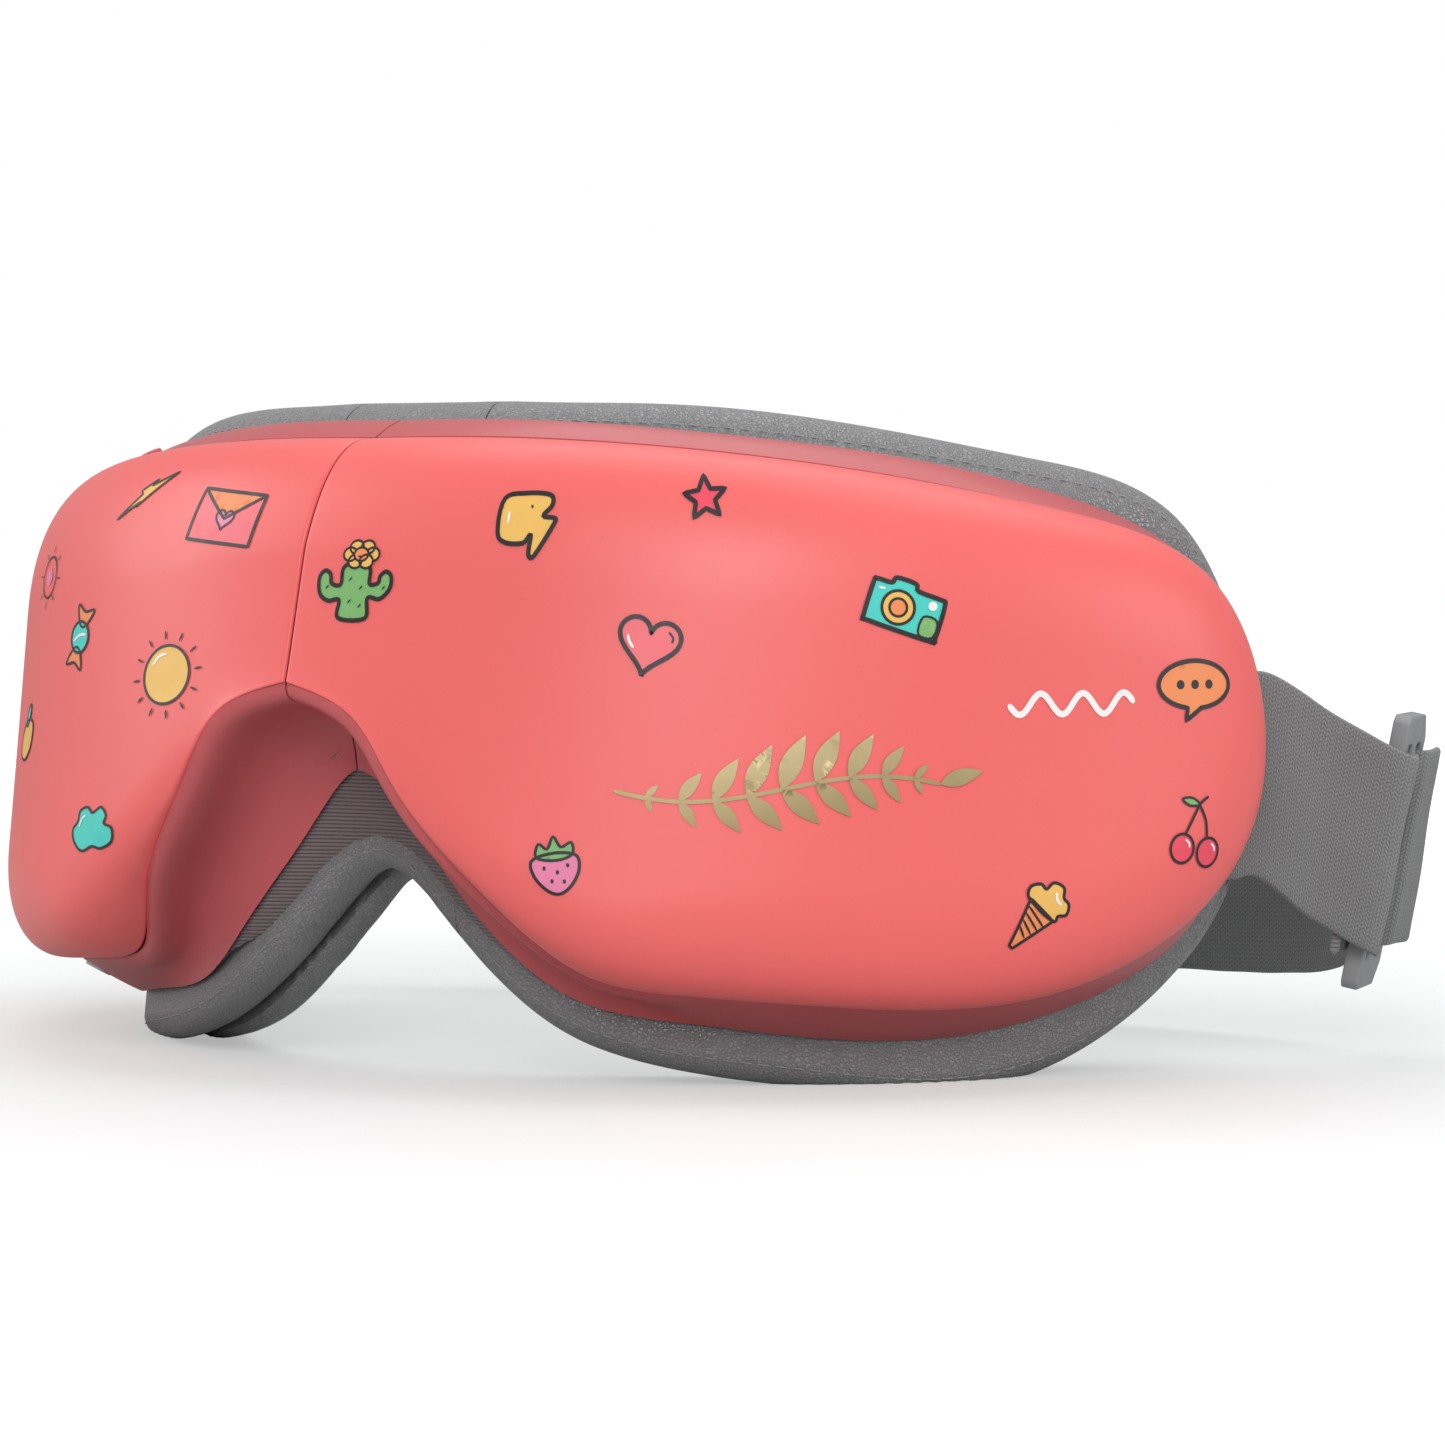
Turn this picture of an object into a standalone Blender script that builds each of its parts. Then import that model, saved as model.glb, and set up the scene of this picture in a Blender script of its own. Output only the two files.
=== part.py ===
"""Folding eye massager mask: two curved halves on a nose hinge, padded face cushions and a webbing strap.

The mask is drawn in unrolled coordinates: s runs along the curved front from the nose, z is height and
d is depth behind the front surface. place() bends those coordinates into the real curve. All millimetres.
"""

import bmesh
import bpy
import numpy as np
from mathutils import Matrix, Vector

MM = 0.001

# Curve of the front seen from above: the heading grows with the distance from the nose and slackens
# at the temple.
CURVE_LENGTH = 137.0
BEND, SLACKEN = 1.33, 0.165
# The front leans back above this height, and the lean fades out towards the temples.
LEAN = 0.23
LEAN_HEIGHT = 57.0
# The whole drawing is moved so that the object stands centred on the origin.
SHIFT = (-3.9, -68.1, 0.0)

SEAM_GAP = 0.2
GAP = 0.4
FRAME_GAP = 1.1
RIM_GAP = 0.75
WALL = 1.8
MITRE = 1.2
FRAME_THICK = 1.6

# Edge loops of one half, as (s, z, d) at the same places: from the top of the nose seam, over the brow,
# round the temple, along the cheek and up the nose arch. LOOP_AT is the distance of each place round the loop.
LOOP_AT = [0, 21, 64, 110, 132, 155, 180, 201, 241, 260, 274, 291, 307, 318, 331]
COVER_EDGE = [
    (0, 85, 11), (21, 85, 11), (64, 82.5, 11), (110, 75.5, 10.5), (132, 67, 8.5),
    (141, 45.5, 7.5), (133, 24.5, 8.5), (114, 14, 10), (74, 11.5, 11), (55, 13, 12),
    (42, 15.5, 13), (28.5, 27, 5.5), (17.5, 40, 1), (11.5, 48.5, -0.5), (0, 53, 0),
]
BAND_EDGE = [
    (0, 87.5, 17), (22, 87.5, 17), (64.5, 85, 17), (112, 78, 16.5), (135.5, 68, 15),
    (143, 45.5, 14), (136.5, 20.5, 15), (116.5, 9.5, 19), (74, 6.5, 21), (54, 8.5, 22),
    (38.5, 11, 22.5), (23.5, 20.5, 21), (12, 31.5, 20.5), (5.5, 38, 19.5), (0, 41, 18),
]
ROLL_EDGE = [
    (0, 90, 24), (22, 90, 24), (65, 88.5, 24), (113, 82.5, 23), (138, 74, 22),
    (152, 46.5, 23.5), (142.5, 16.5, 23), (117.5, 1.5, 24.5), (74, -0.5, 26.5), (56, 1.5, 27),
    (38.5, 5, 27.5), (22.5, 13.5, 28.5), (11.5, 21.5, 29), (6, 25.5, 29), (0, 27.5, 29),
]
# Depth of the cushion's front face, which clears the strap at the temple and the gusset at the nose.
CUSHION_FRONT = [18, 18, 18, 17, 17.5, 19.5, 18.5, 20, 22, 23, 23.5, 24, 24.5, 24.5, 25]
INNER_FRONT_STEP = 1.4
ROLL_RADIUS = 4.8
REAR_ROLL_RADIUS = 3.8
REAR_ROLL_BACK = 6.7
CUSHION_WIDTH = 17.0
CUSHION_START = 16.0

# Width over which the front surface rolls over to each edge.
ROLL_OVER = [20, 20, 20, 19, 18, 17, 17, 17, 17, 15, 12, 8, 7, 7, 7]
ROLL_POWER = 2.4

HINGE_Y = 25.0
HINGE_BOTTOM = 48.0
HINGE_TOP = 72.0

STRAP_WIDTH = 28.0
STRAP_THICK = 1.4
BUCKLE_CENTRE = (101.0, 115.0, 28.5)
BUCKLE_ALONG = (-0.26, 0.966)
BUCKLE_LEAN = 0.2
BUCKLE_LENGTH = 38.5
BUCKLE_WIDTH = 13.0
BUCKLE_THICK = 2.4
BUCKLE_BAR = 2.3
BUCKLE_SLOT = 3.05

LEFT, RIGHT = 1, -1
RIGHT_HALF = ("power_", "mode_", "status_", "light_", "charge_", "port_", "main_board")


def clear_scene():
    for obj in list(bpy.data.objects):
        bpy.data.objects.remove(obj, do_unlink=True)


clear_scene()
PARTS = bpy.data.collections.new("eye_massager_mask")
CUTTERS = bpy.data.collections.new("cutters")
bpy.context.scene.collection.children.link(PARTS)
bpy.context.scene.collection.children.link(CUTTERS)


def material(name, colour, roughness, metallic=0.0):
    made = bpy.data.materials.new(name)
    made.use_nodes = True
    shader = made.node_tree.nodes["Principled BSDF"]
    shader.inputs["Base Color"].default_value = (*colour, 1.0)
    shader.inputs["Roughness"].default_value = roughness
    shader.inputs["Metallic"].default_value = metallic
    made.diffuse_color = (*colour, 1.0)
    return made


CORAL = (0.88, 0.16, 0.15)
ROSE = (0.55, 0.10, 0.10)
LEATHER = (0.20, 0.20, 0.21)
WEBBING = (0.19, 0.19, 0.20)
RUBBER = (0.08, 0.07, 0.07)
PLASTIC = (0.22, 0.22, 0.23)
STEEL = (0.60, 0.61, 0.63)
GREEN = (0.03, 0.22, 0.09)
FABRIC = (0.30, 0.30, 0.32)


# ---------------------------------------------------------------- the curve

RAIL_S = np.linspace(0.0, 185.0, 741)
RAIL_T = RAIL_S / CURVE_LENGTH
RAIL_HEADING = BEND * RAIL_T - SLACKEN * np.minimum(RAIL_T, 1.12) ** 5


def running_sum(values):
    steps = 0.5 * (values[1:] + values[:-1]) * np.diff(RAIL_S)
    return np.concatenate([[0.0], np.cumsum(steps)])


RAIL_X = running_sum(np.cos(RAIL_HEADING))
RAIL_Y = running_sum(np.sin(RAIL_HEADING))


def place(s, z, d, side=LEFT):
    """Points in millimetres for unrolled coordinates, on the wearer's left (+X) or right (-X) half."""
    s, z, d = np.broadcast_arrays(np.asarray(s, float), np.asarray(z, float), np.asarray(d, float))
    far = np.abs(s)
    heading = np.interp(far, RAIL_S, RAIL_HEADING)
    depth = d + LEAN * (z - LEAN_HEIGHT) * np.clip(1.0 - far / CURVE_LENGTH, 0.0, 1.0)
    x = np.interp(far, RAIL_S, RAIL_X) - np.sin(heading) * depth
    y = np.interp(far, RAIL_S, RAIL_Y) + np.cos(heading) * depth
    return np.stack([x * np.where(s < 0, -1.0, 1.0) * side, y, z], axis=-1)


def spline(values, at):
    """A smooth curve through the values given at LOOP_AT, with no bending at its two ends."""
    knots = np.asarray(LOOP_AT, float)
    values = np.asarray(values, float)
    if values.ndim == 1:
        return spline(values[:, None], at)[:, 0]
    count = len(knots)
    step = np.diff(knots)
    rows = np.zeros((count, count))
    right = np.zeros_like(values)
    rows[0, 0] = rows[-1, -1] = 1.0
    for i in range(1, count - 1):
        rows[i, i - 1 : i + 2] = step[i - 1], 2 * (step[i - 1] + step[i]), step[i]
        right[i] = 6 * ((values[i + 1] - values[i]) / step[i] - (values[i] - values[i - 1]) / step[i - 1])
    bend = np.linalg.solve(rows, right)
    k = np.clip(np.searchsorted(knots, at, side="right") - 1, 0, count - 2)
    u = (at - knots[k])[:, None]
    h = step[k][:, None]
    slope = (values[k + 1] - values[k]) / h - h * (2 * bend[k] + bend[k + 1]) / 6
    return values[k] + u * slope + u**2 * bend[k] / 2 + u**3 * (bend[k + 1] - bend[k]) / (6 * h)


def outward(edge):
    """Unit vectors in the unrolled plane that point out of a half across its edge loop."""
    along = np.gradient(edge[:, :2], axis=0)
    normal = np.stack([-along[:, 1], along[:, 0]], axis=1)
    normal /= np.linalg.norm(normal, axis=1)[:, None]
    if edge[0, 0] < 1.0:
        normal[0] = (0.0, 1.0)
    if edge[-1, 0] < 1.0:
        normal[-1] = (0.0, -1.0)
    return normal


def inset(edge, distance):
    moved = edge.copy()
    moved[:, :2] -= outward(edge) * np.asarray(distance).reshape(-1, 1)
    return moved


# ---------------------------------------------------------------- making solids


def finish(name, mesh, look, colour, smooth):
    """Links a mesh as a named part with its own material."""
    obj = bpy.data.objects.new(name, mesh)
    PARTS.objects.link(obj)
    roughness, metallic = look
    mesh.materials.append(material(name + "_look", colour, roughness, metallic))
    for polygon in mesh.polygons:
        polygon.use_smooth = smooth
    return obj


def mesh_of(name, points, faces):
    """A closed mesh in metres from millimetre points, with its faces turned outwards."""
    mesh = bpy.data.meshes.new(name)
    mesh.from_pydata([tuple(p) for p in np.asarray(points) * MM], [], faces)
    shape = bmesh.new()
    shape.from_mesh(mesh)
    bmesh.ops.remove_doubles(shape, verts=shape.verts, dist=0.00002)
    bmesh.ops.recalc_face_normals(shape, faces=shape.faces)
    shape.to_mesh(mesh)
    shape.free()
    return mesh


def loft(name, rings, look, colour, smooth=True):
    """A closed body through rings of matching points; its two ends are capped."""
    rings = np.asarray(rings)
    count, size = rings.shape[:2]
    faces = [tuple(range(size)), tuple((count - 1) * size + i for i in reversed(range(size)))]
    for i in range(count - 1):
        for j in range(size):
            k = (j + 1) % size
            faces.append((i * size + j, i * size + k, (i + 1) * size + k, (i + 1) * size + j))
    return finish(name, mesh_of(name, rings.reshape(-1, 3), faces), look, colour, smooth)


def sheet_solid(name, near, far, look, colour, smooth=True):
    """A closed body between two grids of matching points."""
    rows, columns = near.shape[:2]
    size = rows * columns

    def at(layer, i, j):
        return layer * size + i * columns + j

    faces = []
    for i in range(rows - 1):
        for j in range(columns - 1):
            faces.append((at(0, i, j), at(0, i, j + 1), at(0, i + 1, j + 1), at(0, i + 1, j)))
            faces.append((at(1, i, j), at(1, i + 1, j), at(1, i + 1, j + 1), at(1, i, j + 1)))
    for i in range(rows - 1):
        for j in (0, columns - 1):
            faces.append((at(0, i, j), at(0, i + 1, j), at(1, i + 1, j), at(1, i, j)))
    for j in range(columns - 1):
        for i in (0, rows - 1):
            faces.append((at(0, i, j), at(0, i, j + 1), at(1, i, j + 1), at(1, i, j)))
    points = np.concatenate([near.reshape(-1, 3), far.reshape(-1, 3)])
    return finish(name, mesh_of(name, points, faces), look, colour, smooth)


def frame_at(s, z, d, side):
    """A placing matrix at an unrolled point: local X along the curve, local Y into depth, local Z up."""
    origin = place(s, z, d, side)
    heading = float(np.interp(s, RAIL_S, RAIL_HEADING)) * side
    turn = Matrix.Rotation(heading, 4, "Z")
    return Matrix.Translation(Vector(origin) * MM) @ turn


def block(name, size, where, look, colour, round_edges=0.4):
    """A box of the given millimetre size with rounded edges, put where the matrix says."""
    shape = bmesh.new()
    bmesh.ops.create_cube(shape, size=1.0)
    bmesh.ops.scale(shape, vec=Vector(size) * MM, verts=shape.verts)
    if round_edges:
        bmesh.ops.bevel(
            shape, geom=shape.edges[:], offset=round_edges * MM, segments=1, profile=0.5, affect="EDGES"
        )
    mesh = bpy.data.meshes.new(name)
    shape.to_mesh(mesh)
    shape.free()
    obj = finish(name, mesh, look, colour, False)
    obj.matrix_world = where
    return obj


def drum(name, radius, length, where, look, colour, segments=24):
    """A cylinder with its axis on local Z."""
    shape = bmesh.new()
    bmesh.ops.create_cone(
        shape, cap_ends=True, segments=segments, radius1=radius * MM, radius2=radius * MM, depth=length * MM
    )
    mesh = bpy.data.meshes.new(name)
    shape.to_mesh(mesh)
    shape.free()
    obj = finish(name, mesh, look, colour, False)
    obj.matrix_world = where
    return obj


def helper(obj):
    """Turns a part into a cutter that isn't rendered."""
    PARTS.objects.unlink(obj)
    CUTTERS.objects.link(obj)
    obj.hide_render = True
    obj.display_type = "WIRE"
    return obj


def boolean(obj, other, operation):
    step = obj.modifiers.new(operation.lower(), "BOOLEAN")
    step.object = helper(other)
    step.operation = operation
    step.solver = "EXACT"


# ---------------------------------------------------------------- shells

STATIONS = np.linspace(0.0, 331.0, 84)
COVER = spline(COVER_EDGE, STATIONS)
BAND = spline(BAND_EDGE, STATIONS)
ROLL = spline(ROLL_EDGE, STATIONS)
FRONT = spline(CUSHION_FRONT, STATIONS)
OVER = spline(ROLL_OVER, STATIONS)


def limits(edge, s):
    """Lowest and highest z of an edge loop at each s, and the depth of the loop at both."""
    tip = int(np.argmax(edge[:, 0]))
    upper, lower = edge[: tip + 1], edge[tip:][::-1]
    top = np.interp(s, upper[:, 0], upper[:, 1])
    bottom = np.interp(s, lower[:, 0], lower[:, 1])
    return bottom, top, np.interp(s, lower[:, 0], lower[:, 2]), np.interp(s, upper[:, 0], upper[:, 2])


def grid(edge, columns, rows):
    """Unrolled (s, z) points that fill an edge loop, closer together near its border and its tip."""
    reach = edge[:, 0].max() - 0.05
    turn = np.linspace(0.0, 0.5 * np.pi, columns)
    s = SEAM_GAP + (reach - SEAM_GAP) * np.sin(turn)
    bottom, top, _, _ = limits(edge, s)
    v = 0.5 - 0.5 * np.cos(np.linspace(0.0, np.pi, rows))
    z = bottom[:, None] + (top - bottom)[:, None] * v[None, :]
    return np.broadcast_to(s[:, None], z.shape), z


def domed(edge, s, z, flat, rim, over):
    """Depth of a surface that is flat in the middle and rolls back to the rim depth at its edge loop."""
    points = np.stack([s, z], axis=-1).reshape(-1, 1, 2)
    start, end = edge[None, :-1, :2], edge[None, 1:, :2]
    along = end - start
    t = np.clip(((points - start) * along).sum(-1) / (along**2).sum(-1), 0.0, 1.0)
    away = np.linalg.norm(start + t[..., None] * along - points, axis=-1)
    nearest = away.min(axis=1, keepdims=True)
    weight = np.exp(-(away - nearest) / 3.0)
    weight /= weight.sum(axis=1, keepdims=True)
    rim_here = (weight * (rim[:-1] + t * np.diff(rim))).sum(axis=1)
    over_here = (weight * (over[:-1] + t * np.diff(over))).sum(axis=1)
    u = np.clip(1.0 - nearest[:, 0] / over_here, 0.0, 1.0)
    fall = 1.0 - (1.0 - u**ROLL_POWER) ** (1.0 / ROLL_POWER)
    return (flat + (rim_here - flat) * fall).reshape(np.shape(s))


def front_cover(name, side):
    inner = inset(COVER, WALL)
    s, z = grid(COVER, 34, 15)
    outside = place(s, z, domed(COVER, s, z, 0.0, COVER[:, 2], OVER), side)
    s, z = grid(inner, 34, 15)
    inside = place(s, z, domed(inner, s, z, WALL, COVER[:, 2] + MITRE, OVER - WALL), side)
    return sheet_solid(name, outside, inside, (0.32, 0.0), CORAL)


def wall_profile():
    """Four edge loops of the side wall: outer front, outer rear, inner rear, inner front."""
    outer_front = COVER.copy()
    outer_front[:, 2] += RIM_GAP
    inner_rear = inset(BAND, WALL)
    inner_front = inset(COVER, WALL)
    inner_front[:, 2] += MITRE + RIM_GAP
    return outer_front, BAND, inner_rear, inner_front


def housing(name, side):
    rings = []
    for loop in wall_profile():
        rings.append(place(np.maximum(loop[:, 0], SEAM_GAP), loop[:, 1], loop[:, 2], side))
    return loft(name, np.stack(rings, axis=1), (0.38, 0.0), ROSE, False)


def back_frame(name, side):
    _, _, inner_rear, inner_front = wall_profile()
    share = FRAME_THICK / (inner_rear[:, 2] - inner_front[:, 2])
    front_loop = inset(inner_rear + share[:, None] * (inner_front - inner_rear), FRAME_GAP)
    rear_loop = inset(inner_rear, FRAME_GAP)
    layers = []
    for loop in (front_loop, rear_loop):
        s, z = grid(loop, 26, 6)
        bottom, top, low_depth, high_depth = limits(loop, s[:, 0])
        v = (z - bottom[:, None]) / np.maximum(top - bottom, 0.01)[:, None]
        d = low_depth[:, None] + (high_depth - low_depth)[:, None] * v
        layers.append(place(s, z, d, side))
    return sheet_solid(name, layers[0], layers[1], (0.6, 0.0), PLASTIC)


# ---------------------------------------------------------------- cushions


def arc(centre, radius, angles):
    """Points (out, d) on a circle; angle 0 points outwards and 90 degrees points to the back."""
    turn = np.radians(angles)
    return np.stack([centre[0] + radius * np.cos(turn), centre[1] + radius * np.sin(turn)], axis=1)


def cushion_profile(roll_depth, front, band_out, drop):
    """Closed outline (outward offset from the roll's edge, depth) of the padded face ring."""
    front_roll = arc((-ROLL_RADIUS, roll_depth), ROLL_RADIUS, [-66, -44, -22, 0, 22, 44, 62])
    rear_centre = (-REAR_ROLL_RADIUS - 0.9 + drop, roll_depth + REAR_ROLL_BACK)
    rear_roll = arc(rear_centre, REAR_ROLL_RADIUS, [-40, -12, 15, 42, 68, 92])
    inner = [
        (-CUSHION_WIDTH + 4.0, roll_depth + 8.6),
        (-CUSHION_WIDTH + 1.0, roll_depth + 6.6),
        (-CUSHION_WIDTH, roll_depth + 3.0),
        (-CUSHION_WIDTH, front + INNER_FRONT_STEP),
    ]
    return np.concatenate([[(band_out, front)], front_roll, rear_roll, inner])


def cushion_rings(stations, side):
    roll = spline(ROLL_EDGE, stations)
    band = spline(BAND_EDGE, stations)
    front = spline(CUSHION_FRONT, stations)
    drop = np.interp(stations, [280.0, 318.0], [0.0, 1.8])
    normal = outward(roll)
    rings = []
    for i in range(len(stations)):
        band_out = min(((band[i, :2] - roll[i, :2]) * normal[i]).sum() - 0.6, -2.0)
        profile = cushion_profile(roll[i, 2], front[i], max(band_out, -9.0), drop[i])
        s = roll[i, 0] + normal[i, 0] * profile[:, 0]
        z = np.maximum(roll[i, 1] + normal[i, 1] * profile[:, 0], 0.0)
        rings.append(place(np.maximum(s, CUSHION_START), z, profile[:, 1], side))
    return rings


def face_cushion(name, side):
    fine = np.linspace(0.0, 331.0, 1325)
    roll = spline(ROLL_EDGE, fine)
    reached = fine[roll[:, 0] > CUSHION_START]
    stations = np.linspace(reached[0], reached[-1], 62)
    return loft(name, cushion_rings(stations, side), (0.55, 0.0), LEATHER)


def bridge_cushion():
    """The soft column over the nose that joins the two face cushions."""
    roll = ROLL
    reach = CUSHION_START - GAP
    rings = []
    for s in np.linspace(-reach, reach, 13):
        far = abs(s)
        arch_z, top_z, arch_d, top_d = limits(roll, np.array([far]))
        top_roll = arc((-ROLL_RADIUS, top_d[0]), ROLL_RADIUS, [-66, -44, -22, 0, 22, 44, 62])
        top_rear = arc((-4.7, top_d[0] + REAR_ROLL_BACK), REAR_ROLL_RADIUS, [-40, -12, 15, 42, 68, 92])
        low_roll = arc((-ROLL_RADIUS, arch_d[0]), ROLL_RADIUS, [62, 44, 22, 0, -22, -44, -66])
        low_rear = arc((-2.9, arch_d[0] + REAR_ROLL_BACK), REAR_ROLL_RADIUS, [92, 68, 42, 15, -12, -40])
        low_rear[:, 1] = np.minimum(low_rear[:, 1], 35.6)
        low_roll[:, 1] = np.maximum(low_roll[:, 1], 24.8)
        z_d = [(top_z[0] - 3.2, 17.9)]
        z_d += [(top_z[0] + out, d) for out, d in np.concatenate([top_roll, top_rear])]
        z_d += [(arch_z[0] - out, d) for out, d in np.concatenate([low_rear, low_roll])]
        z_d += [(arch_z[0] + 13.0, 25.2), (45.0, 30.6), (HINGE_TOP + 4.0, 25.8), (top_z[0] - 8.5, 18.5)]
        z_d = np.asarray(z_d)
        rings.append(place(s, z_d[:, 0], z_d[:, 1]))
    return loft("bridge_cushion", rings, (0.55, 0.0), LEATHER)


def nose_gusset():
    """Ribbed elastic that closes the nose arch between the side walls and the cushions."""
    stations = np.linspace(300.0, 331.0, 12)
    band = spline(BAND_EDGE, stations)
    roll = spline(ROLL_EDGE, stations)
    upper = inset(band, 1.4)
    upper[:, 2] += 0.6 + GAP
    lower = inset(roll, 5.0)
    lower[:, 2] = 24.3
    rows = np.array([0.0, 0.25, 0.5, 0.75, 1.0])
    near, far = [], []
    for side in (RIGHT, LEFT):
        order = range(len(stations)) if side == RIGHT else range(len(stations) - 2, -1, -1)
        for i in order:
            line = upper[i] + rows[:, None] * (lower[i] - upper[i])
            bulge = 0.8 * np.sin(np.pi * rows)
            s = np.maximum(line[:, 0], 0.0)
            near.append(place(s, line[:, 1] - 0.5 * bulge, line[:, 2] - 0.6, side))
            far.append(place(s, line[:, 1] + 1.0 - 0.5 * bulge, line[:, 2] + 0.1, side))
    return sheet_solid("nose_gusset", np.asarray(near), np.asarray(far), (0.8, 0.0), RUBBER)


def pillow(name, centre, half, depths, side, look, colour, power=2.3, dome=1.0):
    """An oval pad in unrolled coordinates, flat in front and domed behind."""
    angles = np.linspace(0.0, 2 * np.pi, 41)[:-1]
    cosine, sine = np.cos(angles), np.sin(angles)
    oval_s = np.sign(cosine) * np.abs(cosine) ** (2 / power) * half[0]
    oval_z = np.sign(sine) * np.abs(sine) ** (2 / power) * half[1]
    front, back = depths
    rise = (back - front) * dome
    steps = [(0.97, front), (1.0, front + 0.25 * (back - front)), (0.97, back - 0.75 * rise)]
    steps += [(0.85, back - 0.35 * rise), (0.6, back - 0.1 * rise), (0.3, back)]
    steps = [(0.5, front)] + steps
    rings = [place(centre[0] + oval_s * k, centre[1] + oval_z * k, d, side) for k, d in steps]
    return loft(name, rings, look, colour)


# ---------------------------------------------------------------- straps


def ribbon(name, path, lean, width, thick, look, colour):
    """Flat webbing along a plan path of (x, y, middle height); lean tips its upper edge sideways."""
    path = np.asarray(path, float)
    lean = np.asarray(lean, float)
    along = np.gradient(path[:, :2], axis=0)
    along /= np.linalg.norm(along, axis=1)[:, None]
    across = np.stack([along[:, 1], -along[:, 0], np.zeros(len(path))], axis=1)
    up = np.concatenate([lean, np.ones((len(path), 1))], axis=1)
    up /= np.linalg.norm(up, axis=1)[:, None]
    rings = []
    for i in range(len(path)):
        a, b = across[i] * thick / 2, up[i] * width / 2
        rings.append([path[i] - a - b, path[i] + a - b, path[i] + a + b, path[i] - a + b])
    return loft(name, rings, look, colour, False)


def curve_through(points, count):
    """Points evenly spread along a rounded path through a few given ones."""
    points = np.asarray(points, float)
    padded = np.concatenate([[2 * points[0] - points[1]], points, [2 * points[-1] - points[-2]]])
    pieces = []
    for i in range(1, len(padded) - 2):
        a, b, c, d = padded[i - 1 : i + 3]
        t = np.linspace(0.0, 1.0, 40, endpoint=False)[:, None]
        pieces.append(
            0.5 * (2 * b + (c - a) * t + (2 * a - 5 * b + 4 * c - d) * t**2 + (3 * b - a - 3 * c + d) * t**3)
        )
    dense = np.concatenate([*pieces, points[-1:]])
    length = np.concatenate([[0.0], np.cumsum(np.linalg.norm(np.diff(dense, axis=0), axis=1))])
    want = np.linspace(0.0, length[-1], count)
    return np.stack([np.interp(want, length, dense[:, k]) for k in range(dense.shape[1])], axis=1)


def buckle_point(along, out, height=0.0):
    """A point of the buckle: along its width, out from its plate, and up its leaning length."""
    e = np.array([*BUCKLE_ALONG, 0.0])
    n = np.array([BUCKLE_ALONG[1], -BUCKLE_ALONG[0], 0.0])
    up = n * BUCKLE_LEAN + np.array([0.0, 0.0, 1.0])
    up /= np.linalg.norm(up)
    return np.asarray(BUCKLE_CENTRE) + e * along + n * out + up * height


def hairpin(bar, direction, start_out):
    """A strap's turn round a buckle bar, starting on the given side of the plate."""
    out_radius = BUCKLE_THICK / 2 + 0.35 + STRAP_THICK / 2
    along_radius = BUCKLE_BAR / 2 + 0.35 + STRAP_THICK / 2
    quarter = [(0.0, 1.0), (0.62, 0.96), (0.95, 0.66), (1.0, 0.0)]
    turn = quarter + [(along, -out) for along, out in reversed(quarter[:-1])]
    return [
        buckle_point(bar + direction * along_radius * along, start_out * out_radius * out) for along, out in turn
    ]


def strap_lean(points):
    """Sideways lean of the webbing: full at the buckle and none far from it."""
    away = np.linalg.norm(points[:, :2] - np.asarray(BUCKLE_CENTRE[:2]), axis=1)
    share = np.clip(1.0 - (away - 8.0) / 22.0, 0.0, 1.0)
    n = np.array([BUCKLE_ALONG[1], -BUCKLE_ALONG[0]])
    return share[:, None] * BUCKLE_LEAN * n[None, :]


def temple_points(side):
    """Where the webbing is held under the cushion and leaves past the temple."""
    return [place(s, 39.4, d, side) for s, d in ((134.5, 15.95), (139.0, 15.9), (144.0, 15.6), (149.0, 15.0))]


FRONT_BAR = -(BUCKLE_WIDTH - BUCKLE_BAR) / 2
REAR_BAR = (BUCKLE_WIDTH - BUCKLE_BAR) / 2


def near_strap_path():
    turn = hairpin(FRONT_BAR, 1.0, 1.0)
    lead = [*temple_points(LEFT), np.array([98.9, 101.0, 33.6]), buckle_point(FRONT_BAR - 4.0, 2.5)]
    path = curve_through([*lead, turn[0]], 14)
    tail = [buckle_point(FRONT_BAR - 2.5, -2.3), buckle_point(FRONT_BAR - 5.0, -2.4)]
    return np.concatenate([path, turn[1:], tail])


def far_strap_path():
    turn = hairpin(REAR_BAR, -1.0, -1.0)
    free_end = [buckle_point(REAR_BAR + 7.0, 2.4), buckle_point(REAR_BAR + 3.0, 2.3)]
    path = [
        buckle_point(REAR_BAR + 2.0, -2.6), (90.0, 126.0, 24.5), (76.0, 129.5, 23.0), (40.0, 134.5, 22.5),
        (0.0, 137.0, 24.5), (-45.0, 134.0, 29.5), (-80.0, 124.0, 35.0), (-95.0, 112.0, 38.0),
        *[np.asarray(p) for p in reversed(temple_points(RIGHT))],
    ]
    return np.concatenate([free_end, turn[::-1][:-1], curve_through([turn[0], *path], 46)])


def buckle():
    e = Vector((*BUCKLE_ALONG, 0.0)).normalized()
    n = Vector((BUCKLE_ALONG[1], -BUCKLE_ALONG[0], 0.0)).normalized()
    up = (n * BUCKLE_LEAN + Vector((0.0, 0.0, 1.0))).normalized()
    out = e.cross(up)
    where = Matrix.Identity(4)
    for column, axis in enumerate((e, out, up)):
        where.col[column][:3] = axis
    where.translation = Vector(BUCKLE_CENTRE) * MM
    frame = block(
        "strap_buckle", (BUCKLE_WIDTH, BUCKLE_THICK, BUCKLE_LENGTH), where, (0.45, 0.0), PLASTIC, 0.7
    )
    for at in (FRONT_BAR + BUCKLE_BAR / 2 + BUCKLE_SLOT / 2, REAR_BAR - BUCKLE_BAR / 2 - BUCKLE_SLOT / 2):
        slot = block(
            "buckle_slot", (BUCKLE_SLOT, 8.0, STRAP_WIDTH + 2.4), where @ Matrix.Translation((at * MM, 0, 0)),
            (0.5, 0.0), PLASTIC, 0.0,
        )
        boolean(frame, slot, "DIFFERENCE")
    return frame


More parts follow.
